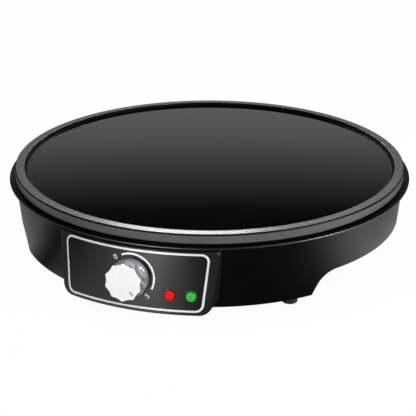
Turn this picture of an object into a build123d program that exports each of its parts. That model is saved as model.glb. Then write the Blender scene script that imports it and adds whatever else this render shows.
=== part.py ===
from build123d import *
from math import asin, atan, cos, degrees, hypot, radians, sin, sqrt, tan
import os

# A round electric crepe maker: a 12-inch cooking plate on a plastic housing, with a control panel
# at the front. Millimetres. +Z is up, -Y points at the user, and the origin lies on the plate's
# axis in the plane of the table.

os.makedirs("parts", exist_ok=True)

# ---------------------------------------------------------------- driving dimensions

fit_gap = 0.1  # between fixed pieces that drop into each other
turn_gap = 0.05  # around the turning shaft, each side
screw_clear = 0.3  # around a screw or bolt in the piece that it passes through
hole_end = 1.0  # a blind hole runs on past the end of its screw
boss_wall = 2.0  # round the thread of a screw
join = 0.5  # how far a boss or a wall runs into what it joins
over = 1.0  # how far a cut runs past the faces that it opens

# Cooking plate
plate_radius = 152.5
rim_height = 64.5  # table to the rim's outer edge
rim_rise = 0.2  # the rim's inner edge stands this much higher
rim_land = 7.2  # width of the rim's top
well_depth = 2.4  # rim's outer edge to the cooking surface
well_wall_run = 2.1  # horizontal run of the wall round the well
plate_side = 7.1  # height of the plate's side wall
plate_thickness = 3.1  # under the cooking surface
rib_clear = 0.8  # from the plate's locating rib to the housing
rib_wall = 2.5
rib_depth = 4.9  # from the side wall's lower edge
boss_height = 12.0  # bosses for the plate bolts
boss_radius = 6.0

# Housing
plate_gap = 1.0  # air gap between the plate and the lip
lip_overhang = 4.5  # how far the lip stands out beyond the plate
lip_thickness = 2.5
lip_bevel = 1.4  # under the lip's nose
skirt_inset = 0.2  # skirt's top radius under the plate's
skirt_taper = 4.5  # radius lost from the top of the skirt to its bottom
skirt_bottom = 7.0
skirt_wall = 2.5
arch_height = 16.5  # hand-grip arches in the sides of the skirt
arch_slope = 6.2  # how much the arch closes in at each end, bottom to top
arch_corner = 14.0
arch_inset = 0.8  # its lower ends stop short of where the recess meets the skirt
arch_cover = 0.5  # the recess's ceiling above the arch's top
recess_depth = 35.8  # how far the hand-grip recess reaches in from the skirt
recess_wall = 2.5
recess_back = 0.2  # the recess's walls end this far inside the skirt's outer face
shelf_width = 45.0
shelf_thickness = 2.5
spacer_height = 4.2
spacer_radius = 5.0

# Feet and base cover
foot_inset = 11.3  # foot's axis inside the skirt's bottom edge
foot_radius = 5.7
foot_stem_radius = 3.0
foot_edge = 0.9
foot_barb = 1.4  # head of the stem, above the cover
cover_clear = 0.4  # round the cover
cover_thickness = 2.0
cover_recess = 0.5  # cover's underside above the skirt's bottom edge
base_boss_radius = 4.5
base_boss_inset = 19.8  # from the skirt's bottom edge
base_boss_angle = 30.0  # each side of the front and of the back
base_screw_length = 14.0
vent_rings = ((52.0, 12, 26.0), (84.0, 16, 18.0))  # radius, number of slots and their length
vent_width = 3.2

# Fasteners, with threads drawn as plain cylinders
bolt_inset = 24.5  # plate bolts inside the feet's circle
bolt_radius = 2.0
bolt_bite = 8.4  # thread inside the plate's boss
bolt_head = 2.8
hex_radius = 1.7
hex_depth = 1.6
screw_radius = 1.5
screw_head_radius = 2.9
screw_head = 1.8

# Heater
element_inset = 22.0  # heating ring inside the bolt circle
element_radius = 3.3
element_opening = 28.0  # degrees left open at the front
element_bend = 8.0
element_leg = 38.0  # height of the lower ends of its legs
element_sheath = 0.8
heater_collar = 2.0
element_rib = 2.0  # ribs of the channel that holds the ring
element_rib_gap = 0.8
element_rib_depth = 3.0
clip_thickness = 0.8
clip_head = 1.2
clip_screw_length = 6.0
clip_reach = 10.0  # clip screws each side of the ring's centre line
clip_angles = (20.0, 140.0, 230.0)
shield_thickness = 0.8
shield_margin = 15.5  # shield's edge inside the plate's locating rib
shield_lip = 4.0
leg_clear = 2.2  # round the heater's legs where they pass the shield
capillary_clear = 2.0

# Control panel
panel_gap = 0.3  # under the lip
panel_lift = 0.2  # panel's bottom edge above the skirt's
panel_lean = 6.84  # degrees that the face leans out towards its bottom edge
panel_top_half = 60.2
panel_bottom_half = 56.0
panel_top_corner = 2.0
panel_bottom_corner = 8.5
panel_wall = 2.5
panel_edge = 1.2
cavity_corner = 1.0
trim_margins = (1.4, 2.5, 5.6, 4.75)  # panel's outline to the silver frame: top, bottom, sides' two ends
trim_width = 1.6
trim_depth = 1.5
trim_stand = 0.3
trim_corner = 5.8
window_half = 48.4  # opening in the skirt behind the panel
window_margin = 5.6
window_corner = 3.0
panel_screw_x = 51.6
panel_screw_shank = 1.25
panel_screw_length = 11.5
panel_screw_rise = 6.0  # lower screws above the window's lower edge
panel_screw_drop = 4.5  # upper screws under the shelf
panel_boss_wall = 1.4
panel_pad_radius = 4.0
panel_pad_gap = 0.07  # from the skirt's inner face to the pad's, at the screw's head
panel_pad_inset = 0.6  # pads end this far inside the skirt's outer face
front_skin = 1.0  # left in front of the blind holes in the panel's face

# Knob, from the face outwards
knob_lift = 24.6  # knob's axis above the panel's bottom edge
knob_gap = 0.5
knob_height = 14.3
knob_radius = 13.65
knob_flutes = 10
flute_radius = 12.0
flute_depth = 1.05
knob_foot = 2.6  # plain ring under the flutes
knob_wall = 1.8
knob_face = 3.0
knob_edge = 0.6
knob_hub_radius = 5.6
knob_hub_inset = 0.8  # from the knob's back to the hub's
cusp_lead = 8.0  # degrees from the pointer to the next cusp
knob_clip_width = 3.8
knob_clip_thickness = 0.9
knob_clip_length = 5.5
knob_clip_gap = 0.2
pointer_angle = 136.0  # clockwise from straight up, at the hottest setting
pointer_inner = 7.4
pointer_outer = 11.4
pointer_width = 1.0
pointer_depth = 0.4

# Thermostat, from the face inwards
shaft_radius = 3.0
shaft_flat = 0.7
shaft_stand = 10.0  # in front of the face
shaft_end_gap = 0.3
bush_radius = 5.0
bush_clear = 0.4
bush_inset = 0.6  # from the face to the bush's front end
bracket_depth = 6.5
bracket_thickness = 1.2
bracket_width = 40.0
bracket_height = 22.0
bracket_pitch = 15.0
bracket_corner = 3.0
thermostat_width = 30.0
thermostat_height = 28.0
thermostat_depth = 20.0
shaft_seat = 10.0  # of the shaft inside the thermostat
head_clear = 0.6  # round a screw's head in its well
blade_pitch = 9.0
blade_drop = 8.0  # below the shaft
blade_width = 6.3
blade_thickness = 0.8
blade_length = 9.0
sleeve_grip = 7.0  # push-on sleeve over a blade
sleeve_tail = 5.0
sleeve_width = 8.1
sleeve_thickness = 3.2
sleeve_corner = 0.8
capillary_radius = 0.9
capillary_place = 9.0  # beside and above the shaft, where it leaves the thermostat
capillary_run = 9.0
capillary_drop = 3.0  # below the heat shield
capillary_turn = 10.0  # in front of the bulb
capillary_front = 108.0  # in front of the plate's axis, where it levels out
bulb_radius = 2.6
bulb_length = 46.0
bulb_x = 9.0
bulb_y = -14.0  # middle of the sensor bulb
bulb_edge = 1.0
bulb_clip_band = 0.8
bulb_clip_span = 20.0
bulb_clip_length = 10.0

# Pilot lamps
lamp_places = (28.4, 42.9)  # across the panel
lamp_drop = 9.9  # below the knob's axis
lens_radius = 4.4
lens_flange = 0.5
lens_lift = 0.25  # flange's back in front of the face
dome_radius = 3.7
dome_stand = 2.2
dome_edge = 0.7
lens_wall = 0.9
lens_depth = 14.0
neon_radius = 2.5
neon_length = 11.0
neon_inset = 1.0  # from the open end of the lens
neon_nose = 1.5
lead_width = 4.0
lead_thickness = 1.8
lamp_leads = 5.0
push_nut_gap = 0.4
push_nut_thickness = 0.8
push_nut_width = 2.2
push_nut_grip = 0.02

# Supply
gland_height = 20.0
cord_radius = 3.6
gland_radius = 6.2
gland_flange = 9.0
gland_flange_thickness = 2.6
gland_edge = 1.0
gland_depth = 4.0  # from the skirt's outer face to the seat of the nut
gland_tail = 4.0
gland_nut_height = 3.0
gland_pad_radius = 10.5
gland_pad_stand = 1.35  # in front of the skirt at the gland's height
block_length = 50.0
block_width = 16.0
block_height = 14.0
block_place = 104.0  # behind the plate's axis
block_corner = 1.5
way_count = 5
way_pitch = 9.0
way_radius = 1.6
way_entry = 1.0  # how far a wire reaches into its way
well_radius = 2.1
block_screw_radius = 2.0
block_screw_length = 3.6
block_screw_inset = 0.8
block_slot_width = 0.6
block_slot_depth = 0.8
fuse_radius = 2.0
fuse_half = 6.0
fuse_x = -46.0
fuse_y = -38.0
fuse_clamp_band = 0.6
fuse_clamp_span = 16.0
fuse_clamp_length = 6.0
earth_x = 40.0
earth_y = 62.0
earth_fold = 7.0
earth_drop = 8.0
earth_width = 9.0
earth_corner = 2.0
wire_radius = 1.2
wire_bend = 5.0
wire_lift = 2.0  # above the base cover

# ---------------------------------------------------------------- derived sizes

floor_z = rim_height - well_depth
plate_under = floor_z - plate_thickness
side_bottom = rim_height - plate_side
lip_top = side_bottom - plate_gap
lip_under = lip_top - lip_thickness
lip_radius = plate_radius + lip_overhang
skirt_top_radius = plate_radius - skirt_inset
skirt_bottom_radius = skirt_top_radius - skirt_taper
opening_radius = skirt_top_radius - skirt_wall
rib_radius = opening_radius - rib_clear
boss_bottom = plate_under - boss_height
shelf_top = boss_bottom - shield_thickness - spacer_height
shelf_bottom = shelf_top - shelf_thickness
shelf_radius = skirt_top_radius - shelf_width
recess_x = skirt_bottom_radius - recess_depth
recess_ceiling = skirt_bottom + arch_height + arch_cover
cover_bottom = skirt_bottom + cover_recess
cover_top = cover_bottom + cover_thickness
foot_circle = skirt_bottom_radius - foot_inset
base_boss_circle = skirt_bottom_radius - base_boss_inset
bolt_circle = foot_circle - bolt_inset
element_ring = bolt_circle - element_inset
element_z = plate_under - fit_gap - element_radius
panel_top = lip_under - panel_gap
panel_bottom = skirt_bottom + panel_lift
knob_z = panel_bottom + knob_lift
lamp_z = knob_z - lamp_drop
front_depth = trim_depth + panel_wall


standing = (Align.CENTER, Align.CENTER, Align.MIN)
hanging = (Align.CENTER, Align.CENTER, Align.MAX)
rising = (Align.CENTER, Align.MIN)
falling = (Align.CENTER, Align.MAX)


def skirt_radius(height):
    """Outer radius of the skirt at a height."""
    share = (height - skirt_bottom) / (lip_under - skirt_bottom)
    return skirt_bottom_radius + skirt_taper * share


def face_radius(height, depth=0.0):
    """Radius of the panel's leaning face at a height, or of a layer at a depth behind it."""
    lean_out = (panel_top - height) * tan(radians(panel_lean))
    return lip_radius + lean_out - depth / cos(radians(panel_lean))


def radial_plane(azimuth):
    """A plane through the axis: its x runs out at this azimuth, its y is up."""
    out = (cos(radians(azimuth)), sin(radians(azimuth)), 0)
    normal = (sin(radians(azimuth)), -cos(radians(azimuth)), 0)
    return Plane(origin=(0, 0, 0), x_dir=out, z_dir=normal)


def rounded(*corners):
    """A closed outline from (x, y, radius) corners; radius 0 leaves a corner sharp."""
    points = [(x, y) for x, y, _ in corners]
    FilletPolyline(*points, radius=[radius for _, _, radius in corners], close=True)


def panel_outline(margins, top_corner, bottom_corner):
    """The panel's outline seen from the front, drawn in at its top, bottom and sides' two ends."""
    top_margin, bottom_margin, upper_margin, lower_margin = margins
    top, bottom = panel_top - top_margin, panel_bottom + bottom_margin
    top_half, bottom_half = panel_top_half - upper_margin, panel_bottom_half - lower_margin
    with BuildSketch(Plane.XZ) as outline:
        with BuildLine():
            Polyline(
                (-bottom_half, bottom), (bottom_half, bottom), (top_half, top), (-top_half, top), close=True
            )
        make_face()
        fillet(outline.vertices().group_by(Axis.Y)[0], bottom_corner)
        fillet(outline.vertices().group_by(Axis.Y)[-1], top_corner)
    return outline.sketch


def trim_outline(inward, corner):
    """The silver frame's outer edge seen from the front, drawn in by a distance."""
    margins = [margin + inward for margin in trim_margins]
    return panel_outline(margins, corner, corner)


def front_slab(inner, outer, outline):
    """A piece of the shell between two radius functions at the front, cut to an outline."""
    low, high, half_angle = 0.0, lip_top, 35.0
    with BuildPart() as slab:
        with BuildSketch(radial_plane(-90 - half_angle)):
            with BuildLine():
                Polyline(
                    (inner(low), low), (outer(low), low), (outer(high), high), (inner(high), high), close=True
                )
            make_face()
        revolve(axis=Axis.Z, revolution_arc=2 * half_angle)
        extrude(outline, amount=2 * plate_radius, mode=Mode.INTERSECT)
    return slab.part


def saddle(x, y, face, radius, band, span, length):
    """A saddle clip with its feet under a flat face, round a rod that lies along Y."""
    with BuildPart() as clip:
        with BuildSketch(Plane.XZ.offset(-y - length / 2)):
            with Locations((x, face - radius)):
                Circle(radius + fit_gap + band)
                Rectangle(2 * (radius + fit_gap + band), radius, align=rising)
            with Locations((x, face)):
                Rectangle(span, band, align=falling)
                Rectangle(span, span, align=rising, mode=Mode.SUBTRACT)
            with Locations((x, face - radius)):
                Circle(radius + fit_gap, mode=Mode.SUBTRACT)
                Rectangle(2 * (radius + fit_gap), span, align=rising, mode=Mode.SUBTRACT)
        extrude(amount=length)
    return clip.part


def on_face(point):
    """Whether a point lies on the panel's leaning face."""
    return abs(hypot(point.X, point.Y) - face_radius(point.Z)) < 0.01


def circles(places, radius):
    """Discs seen from the front, at (x, height) places."""
    with BuildSketch(Plane.XZ) as discs:
        with Locations(*places):
            Circle(radius)
    return discs.sketch


# The knob's frame: origin where the shaft leaves the face, z out along the shaft, y up the face.
lean = radians(panel_lean)
knob_seat = (0, -face_radius(knob_z), knob_z)
knob_plane = Plane(origin=knob_seat, x_dir=(1, 0, 0), z_dir=(0, -cos(lean), sin(lean)))


def lamp_plane(place):
    """A lamp's frame: origin on the face, z straight out of the face there."""
    radius = face_radius(lamp_z)
    turn = asin(place / radius)
    out = (sin(turn) * cos(lean), -cos(turn) * cos(lean), sin(lean))
    return Plane(origin=(place, -radius * cos(turn), lamp_z), x_dir=(cos(turn), sin(turn), 0), z_dir=out)


# ---------------------------------------------------------------- cooking plate

rib_bottom = side_bottom - rib_depth
land_inner = plate_radius - rim_land
floor_radius = land_inner - well_wall_run

with BuildPart() as cooking_plate:
    with BuildSketch(Plane.XZ):
        with BuildLine():
            rounded(
                (0, plate_under, 0),
                (rib_radius - rib_wall, plate_under, 1.0),
                (rib_radius - rib_wall, rib_bottom, 0.5),
                (rib_radius, rib_bottom, 0.5),
                (rib_radius, side_bottom, 0.5),
                (plate_radius, side_bottom, 0.8),
                (plate_radius, rim_height, 1.1),
                (land_inner, rim_height + rim_rise, 0.5),
                (floor_radius, floor_z, 1.2),
                (0, floor_z, 0),
            )
        make_face()
    revolve(axis=Axis.Z)
    with BuildSketch(Plane.XY.offset(plate_under)):
        with PolarLocations(bolt_circle, 4, start_angle=45):
            Circle(boss_radius)
    extrude(amount=-boss_height)
    for channel_side in (-1, 1):
        near = element_ring + channel_side * (element_radius + element_rib_gap)
        with BuildSketch(Plane.XY.offset(plate_under)):
            Circle(max(near, near + channel_side * element_rib))
            Circle(min(near, near + channel_side * element_rib), mode=Mode.SUBTRACT)
        extrude(amount=-element_rib_depth)
    clip_z = element_z - element_radius - fit_gap
    with BuildSketch(Plane.XY.offset(plate_under)):
        for clip_side in (-1, 1):
            for angle in clip_angles:
                with PolarLocations(element_ring + clip_side * clip_reach, 1, start_angle=angle):
                    Circle(screw_radius + boss_wall)
    extrude(amount=clip_z - plate_under)
    with BuildSketch(Plane.XY.offset(boss_bottom)):
        with PolarLocations(bolt_circle, 4, start_angle=45):
            Circle(bolt_radius + turn_gap)
    extrude(amount=bolt_bite + hole_end, mode=Mode.SUBTRACT)
    with BuildSketch(Plane.XY.offset(clip_z)):
        for clip_side in (-1, 1):
            for angle in clip_angles:
                with PolarLocations(element_ring + clip_side * clip_reach, 1, start_angle=angle):
                    Circle(screw_radius + turn_gap)
    extrude(amount=clip_screw_length - clip_thickness + hole_end, mode=Mode.SUBTRACT)
cooking_plate.part.label = "cooking_plate"
export_step(cooking_plate.part, "parts/cooking_plate.step")

# ---------------------------------------------------------------- heating element

ring_start = -90 + element_opening / 2
ring_end = ring_start + 360 - element_opening


def element_leg_points(azimuth, direction):
    """Foot, bend start, bend middle and ring end of one cold leg, below the end of the ring."""
    end = Vector(element_ring * cos(radians(azimuth)), element_ring * sin(radians(azimuth)), element_z)
    along = Vector(-sin(radians(azimuth)), cos(radians(azimuth)), 0) * direction
    bend_start = end - along * element_bend - Vector(0, 0, element_bend)
    half_turn = radians(45)
    middle = end - along * element_bend * sin(half_turn) - Vector(0, 0, element_bend * (1 - cos(half_turn)))
    return Vector(bend_start.X, bend_start.Y, element_leg), bend_start, middle, end


right_leg = element_leg_points(ring_start, 1)
left_leg = element_leg_points(ring_end, -1)

with BuildPart() as heating_element:
    with BuildLine() as element_path:
        Line(right_leg[0], right_leg[1])
        ThreePointArc(right_leg[1], right_leg[2], right_leg[3])
        CenterArc((0, 0, element_z), element_ring, ring_start, 360 - element_opening)
        ThreePointArc(left_leg[3], left_leg[2], left_leg[1])
        Line(left_leg[1], left_leg[0])
    with BuildSketch(Plane(origin=right_leg[0], z_dir=(0, 0, 1))):
        Circle(element_radius)
    sweep(path=element_path.wires()[0])
heating_element.part.label = "heating_element"
export_step(heating_element.part, "parts/heating_element.step")

with BuildPart() as heater_terminals:
    for leg in (right_leg, left_leg):
        with BuildSketch(Plane(origin=leg[0], x_dir=(1, 0, 0), z_dir=(0, 0, -1))):
            Circle(element_radius - element_sheath)
        extrude(amount=heater_collar)
        collar_end = leg[0] - Vector(0, 0, heater_collar)
        with BuildSketch(Plane(origin=collar_end, x_dir=(1, 0, 0), z_dir=(0, 0, -1))):
            Rectangle(blade_width, blade_thickness)
        extrude(amount=blade_length)
heater_terminals.part.label = "heater_terminals"
export_step(heater_terminals.part, "parts/heater_terminals.step")

with BuildPart() as element_clips:
    for angle in clip_angles:
        clip_out = Vector(cos(radians(angle)), sin(radians(angle)), 0)
        clip_centre = clip_out * element_ring + Vector(0, 0, clip_z)
        clip_plane = Plane(origin=clip_centre, x_dir=clip_out, z_dir=(0, 0, -1))
        with BuildSketch(clip_plane):
            SlotCenterToCenter(2 * clip_reach, 2 * (screw_radius + boss_wall))
            with Locations((-clip_reach, 0), (clip_reach, 0)):
                Circle(screw_radius + fit_gap, mode=Mode.SUBTRACT)
        extrude(amount=clip_thickness)
element_clips.part.label = "element_clips"
export_step(element_clips.part, "parts/element_clips.step")

with BuildPart() as clip_screws:
    for clip_side in (-1, 1):
        for angle in clip_angles:
            with PolarLocations(element_ring + clip_side * clip_reach, 1, start_angle=angle):
                with Locations((0, 0, clip_z - clip_thickness)):
                    Cylinder(screw_head_radius, clip_head, align=hanging)
                    Cylinder(screw_radius, clip_screw_length, align=standing)
clip_screws.part.label = "clip_screws"
export_step(clip_screws.part, "parts/clip_screws.step")

# ---------------------------------------------------------------- heat shield

shield_top = boss_bottom
shield_radius = rib_radius - rib_wall - shield_margin + shield_thickness
capillary_hole_y = bulb_y - bulb_length / 2 - capillary_turn

with BuildPart() as heat_shield:
    with BuildSketch(Plane.XZ):
        with BuildLine():
            Polyline(
                (0, shield_top - shield_thickness),
                (shield_radius, shield_top - shield_thickness),
                (shield_radius, shield_top + shield_lip),
                (shield_radius - shield_thickness, shield_top + shield_lip),
                (shield_radius - shield_thickness, shield_top),
                (0, shield_top),
                close=True,
            )
        make_face()
    revolve(axis=Axis.Z)
    with BuildSketch(Plane.XY.offset(shield_top + over)):
        with PolarLocations(bolt_circle, 4, start_angle=45):
            Circle(bolt_radius + screw_clear)
        with Locations((right_leg[0].X, right_leg[0].Y), (left_leg[0].X, left_leg[0].Y)):
            Circle(element_radius + leg_clear)
        with Locations((bulb_x, capillary_hole_y)):
            Circle(capillary_radius + capillary_clear)
    extrude(amount=-(shield_thickness + 2 * over), mode=Mode.SUBTRACT)
heat_shield.part.label = "heat_shield"
export_step(heat_shield.part, "parts/heat_shield.step")

# ---------------------------------------------------------------- housing

window_low = panel_bottom + window_margin
window_high = panel_top - window_margin
panel_screw_heights = (window_low + panel_screw_rise, shelf_bottom - panel_screw_drop)
panel_screw_places = [(side * panel_screw_x, height) for side in (-1, 1) for height in panel_screw_heights]
pad_wall_radius = skirt_radius(panel_screw_heights[0]) - skirt_wall
pad_plane = sqrt(pad_wall_radius**2 - (panel_screw_x + 2 * panel_screw_shank) ** 2) - panel_pad_gap
gland_face = skirt_radius(gland_height) + gland_pad_stand
gland_back = skirt_radius(gland_height) - gland_depth
base_boss_places = [
    (base_boss_circle * sin(radians(turn)), -base_boss_circle * cos(radians(turn)))
    for turn in (-base_boss_angle, base_boss_angle, 180 - base_boss_angle, 180 + base_boss_angle)
]

with BuildPart() as screw_pads:
    with BuildSketch(Plane.XZ.offset(pad_plane)):
        with Locations(*panel_screw_places):
            Circle(panel_pad_radius)
    extrude(amount=plate_radius - pad_plane)
    with BuildSketch(Plane.XZ):
        with BuildLine():
            Polyline(
                (0, skirt_bottom),
                (skirt_bottom_radius - panel_pad_inset, skirt_bottom),
                (skirt_top_radius - panel_pad_inset, lip_under),
                (0, lip_under),
                close=True,
            )
        make_face()
    revolve(axis=Axis.Z, mode=Mode.INTERSECT)

with BuildPart() as housing:
    with BuildSketch(Plane.XZ):
        with BuildLine():
            rounded(
                (skirt_bottom_radius, skirt_bottom, 0),
                (skirt_top_radius, lip_under, 0.4),
                (lip_radius - lip_bevel, lip_under, 0.5),
                (lip_radius, lip_under + lip_bevel, 0.5),
                (lip_radius, lip_top, 0.8),
                (opening_radius, lip_top, 0.5),
                (opening_radius, lip_under, 0),
                (skirt_radius(shelf_top) - skirt_wall, shelf_top, 0),
                (shelf_radius, shelf_top, 0),
                (shelf_radius, shelf_bottom, 0),
                (skirt_radius(shelf_bottom) - skirt_wall, shelf_bottom, 0),
                (skirt_bottom_radius - skirt_wall, skirt_bottom, 0),
            )
        make_face()
    revolve(axis=Axis.Z)
    # bosses that hang from the shelf for the base cover's screws
    with BuildSketch(Plane.XY.offset(cover_top)):
        with Locations(*base_boss_places):
            Circle(base_boss_radius)
    extrude(amount=shelf_bottom - cover_top + join)
    # pads for the panel's screws and for the cord gland
    add(screw_pads.part)
    with BuildSketch(Plane.XZ.offset(-gland_back)):
        with Locations((0, gland_height)):
            Circle(gland_pad_radius)
    extrude(amount=-(gland_face - gland_back))
    # hand-grip recesses: a ceiling and an inner wall behind each arch
    recess_clip = skirt_bottom_radius - recess_back
    for side in (-1, 1):
        with BuildSketch(Plane.XY.offset(recess_ceiling)):
            with Locations((side * (recess_x - recess_wall + plate_radius), 0)):
                Rectangle(2 * plate_radius, 4 * plate_radius)
            Circle(recess_clip, mode=Mode.INTERSECT)
        extrude(amount=recess_wall)
        with BuildSketch(Plane.XY.offset(cover_bottom)):
            with Locations((side * (recess_x - recess_wall / 2), 0)):
                Rectangle(recess_wall, 4 * plate_radius)
            Circle(recess_clip, mode=Mode.INTERSECT)
        extrude(amount=recess_ceiling - cover_bottom + join)
    # the arches themselves
    arch_half = sqrt(skirt_bottom_radius**2 - recess_x**2) - arch_inset
    with BuildSketch(Plane.YZ) as arch:
        with BuildLine():
            Polyline(
                (-arch_half, skirt_bottom),
                (-arch_half + arch_slope, skirt_bottom + arch_height),
                (arch_half - arch_slope, skirt_bottom + arch_height),
                (arch_half, skirt_bottom),
                close=True,
            )
        make_face()
        fillet(arch.vertices().group_by(Axis.Y)[-1], arch_corner)
        with Locations((0, skirt_bottom)):
            Rectangle(2 * arch_half, skirt_bottom, align=falling)
    with BuildSketch(Plane.YZ.offset(recess_x)):
        add(arch.sketch_local)
    extrude(amount=2 * recess_depth, mode=Mode.SUBTRACT)
    with BuildSketch(Plane.YZ.offset(-recess_x)):
        add(arch.sketch_local)
    extrude(amount=-2 * recess_depth, mode=Mode.SUBTRACT)
    # window behind the control panel
    with BuildSketch(Plane.XZ.offset(shelf_radius - window_half)):
        with Locations((0, (window_low + window_high) / 2)):
            RectangleRounded(2 * window_half, window_high - window_low, window_corner)
    extrude(amount=plate_radius, mode=Mode.SUBTRACT)
    # screw and bolt holes
    with BuildSketch(Plane.XZ.offset(pad_plane - over)):
        with Locations(*panel_screw_places):
            Circle(panel_screw_shank + screw_clear)
    extrude(amount=plate_radius - pad_plane, mode=Mode.SUBTRACT)
    with BuildSketch(Plane.XZ.offset(-gland_back + over)):
        with Locations((0, gland_height)):
            Circle(gland_radius + fit_gap)
    extrude(amount=-(gland_face - gland_back + 2 * over), mode=Mode.SUBTRACT)
    with BuildSketch(Plane.XY.offset(shelf_bottom - over)):
        with PolarLocations(bolt_circle, 4, start_angle=45):
            Circle(bolt_radius + screw_clear)
    extrude(amount=shelf_thickness + 2 * over, mode=Mode.SUBTRACT)
    with BuildSketch(Plane.XY.offset(cover_bottom)):
        with Locations(*base_boss_places):
            Circle(screw_radius + turn_gap)
    extrude(amount=base_screw_length + hole_end, mode=Mode.SUBTRACT)
housing.part.label = "housing"
export_step(housing.part, "parts/housing.step")

# ---------------------------------------------------------------- spacers and plate bolts

with BuildPart() as spacers:
    with BuildSketch(Plane.XY.offset(shelf_top)):
        with PolarLocations(bolt_circle, 4, start_angle=45):
            Circle(spacer_radius)
            Circle(bolt_radius + screw_clear, mode=Mode.SUBTRACT)
    extrude(amount=spacer_height)
spacers.part.label = "spacers"
export_step(spacers.part, "parts/spacers.step")

with BuildPart() as plate_bolts:
    with PolarLocations(bolt_circle, 4, start_angle=45):
        with Locations((0, 0, shelf_bottom)):
            Cylinder(2 * bolt_radius, bolt_head, align=hanging)
            Cylinder(bolt_radius, boss_bottom - shelf_bottom + bolt_bite, align=standing)
    with BuildSketch(Plane.XY.offset(shelf_bottom - bolt_head)):
        with PolarLocations(bolt_circle, 4, start_angle=45):
            RegularPolygon(hex_radius, 6)
    extrude(amount=hex_depth, mode=Mode.SUBTRACT)
plate_bolts.part.label = "plate_bolts"
export_step(plate_bolts.part, "parts/plate_bolts.step")

# ---------------------------------------------------------------- base cover and feet

cover_radius = skirt_radius(cover_bottom) - skirt_wall - cover_clear
cover_half = recess_x - recess_wall - cover_clear

with BuildPart() as base_cover:
    with BuildSketch(Plane.XY.offset(cover_bottom)):
        Circle(cover_radius)
        Rectangle(2 * cover_half, 4 * plate_radius, mode=Mode.INTERSECT)
        with PolarLocations(foot_circle, 4, start_angle=45):
            Circle(foot_stem_radius + fit_gap, mode=Mode.SUBTRACT)
        with Locations(*base_boss_places):
            Circle(screw_radius + screw_clear, mode=Mode.SUBTRACT)
        for ring, count, length in vent_rings:
            with PolarLocations(ring, count, start_angle=180 / count):
                SlotOverall(length, vent_width, mode=Mode.SUBTRACT)
    extrude(amount=cover_thickness)
base_cover.part.label = "base_cover"
export_step(base_cover.part, "parts/base_cover.step")

with BuildPart() as base_screws:
    with Locations(*[(x, y, cover_bottom) for x, y in base_boss_places]):
        Cylinder(screw_head_radius, screw_head, align=hanging)
        Cylinder(screw_radius, base_screw_length, align=standing)
base_screws.part.label = "base_screws"
export_step(base_screws.part, "parts/base_screws.step")

with BuildPart() as feet:
    with PolarLocations(foot_circle, 4, start_angle=45):
        Cylinder(foot_radius, cover_bottom, align=standing)
    fillet(feet.edges().group_by(Axis.Z)[0], foot_edge)
    with PolarLocations(foot_circle, 4, start_angle=45):
        with Locations((0, 0, cover_bottom)):
            Cylinder(foot_stem_radius, cover_thickness, align=standing)
        with Locations((0, 0, cover_top)):
            Cylinder(foot_stem_radius + foot_barb, foot_barb, align=standing)
feet.part.label = "feet"
export_step(feet.part, "parts/feet.step")

# ---------------------------------------------------------------- control panel

box_shell = front_slab(
    lambda z: skirt_radius(z) + fit_gap,
    face_radius,
    panel_outline((0, 0, 0, 0), panel_top_corner, panel_bottom_corner),
)
box_cavity = front_slab(
    lambda z: skirt_radius(z) - over,
    lambda z: face_radius(z, front_depth),
    panel_outline(4 * (panel_wall,), cavity_corner, panel_bottom_corner - panel_wall),
)
box_recess = front_slab(
    lambda z: face_radius(z, trim_depth),
    lambda z: face_radius(z, -over),
    trim_outline(0, trim_corner),
)
box_bosses = front_slab(
    lambda z: skirt_radius(z) + fit_gap,
    lambda z: face_radius(z, front_depth - join),
    circles(panel_screw_places, panel_screw_shank + panel_boss_wall),
)

with BuildPart() as control_box:
    add(box_shell)
    fillet([edge for edge in control_box.edges() if on_face(edge @ 0.5)], panel_edge)
    add(box_cavity, mode=Mode.SUBTRACT)
    add(box_recess, mode=Mode.SUBTRACT)
    add(box_bosses)
    # seats for the thermostat's bracket
    with BuildSketch(knob_plane.offset(-bracket_depth)):
        with Locations((-bracket_pitch, 0), (bracket_pitch, 0)):
            Circle(screw_radius + boss_wall)
    extrude(amount=bracket_depth - front_depth + join)
    with BuildSketch(knob_plane.offset(-bracket_depth)):
        with Locations((-bracket_pitch, 0), (bracket_pitch, 0)):
            Circle(screw_radius + turn_gap)
    extrude(amount=bracket_depth - trim_depth - front_skin, mode=Mode.SUBTRACT)
    # the way through for the bush and the lenses
    with BuildSketch(knob_plane.offset(-bracket_depth - over)):
        Circle(bush_radius + bush_clear)
    extrude(amount=bracket_depth + 2 * over, mode=Mode.SUBTRACT)
    for place in lamp_places:
        with BuildSketch(lamp_plane(place).offset(-front_depth - over)):
            Circle(dome_radius + fit_gap)
        extrude(amount=front_depth + 2 * over, mode=Mode.SUBTRACT)
    # screw holes from the back
    with BuildSketch(Plane.XZ.offset(pad_plane)):
        with Locations(*panel_screw_places):
            Circle(panel_screw_shank + turn_gap)
    extrude(amount=panel_screw_length + hole_end, mode=Mode.SUBTRACT)
control_box.part.label = "control_box"
export_step(control_box.part, "parts/control_box.step")

trim_outer = front_slab(
    lambda z: face_radius(z, trim_depth - fit_gap),
    lambda z: face_radius(z, -trim_stand),
    trim_outline(fit_gap, trim_corner),
)
trim_hole = front_slab(
    lambda z: face_radius(z, trim_depth + over),
    lambda z: face_radius(z, -over),
    trim_outline(trim_width, trim_corner - trim_width),
)

with BuildPart() as panel_trim:
    add(trim_outer)
    add(trim_hole, mode=Mode.SUBTRACT)
panel_trim.part.label = "panel_trim"
export_step(panel_trim.part, "parts/panel_trim.step")

fascia_blank = front_slab(
    lambda z: face_radius(z, trim_depth - fit_gap),
    face_radius,
    trim_outline(trim_width + fit_gap, trim_corner - trim_width),
)

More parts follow.
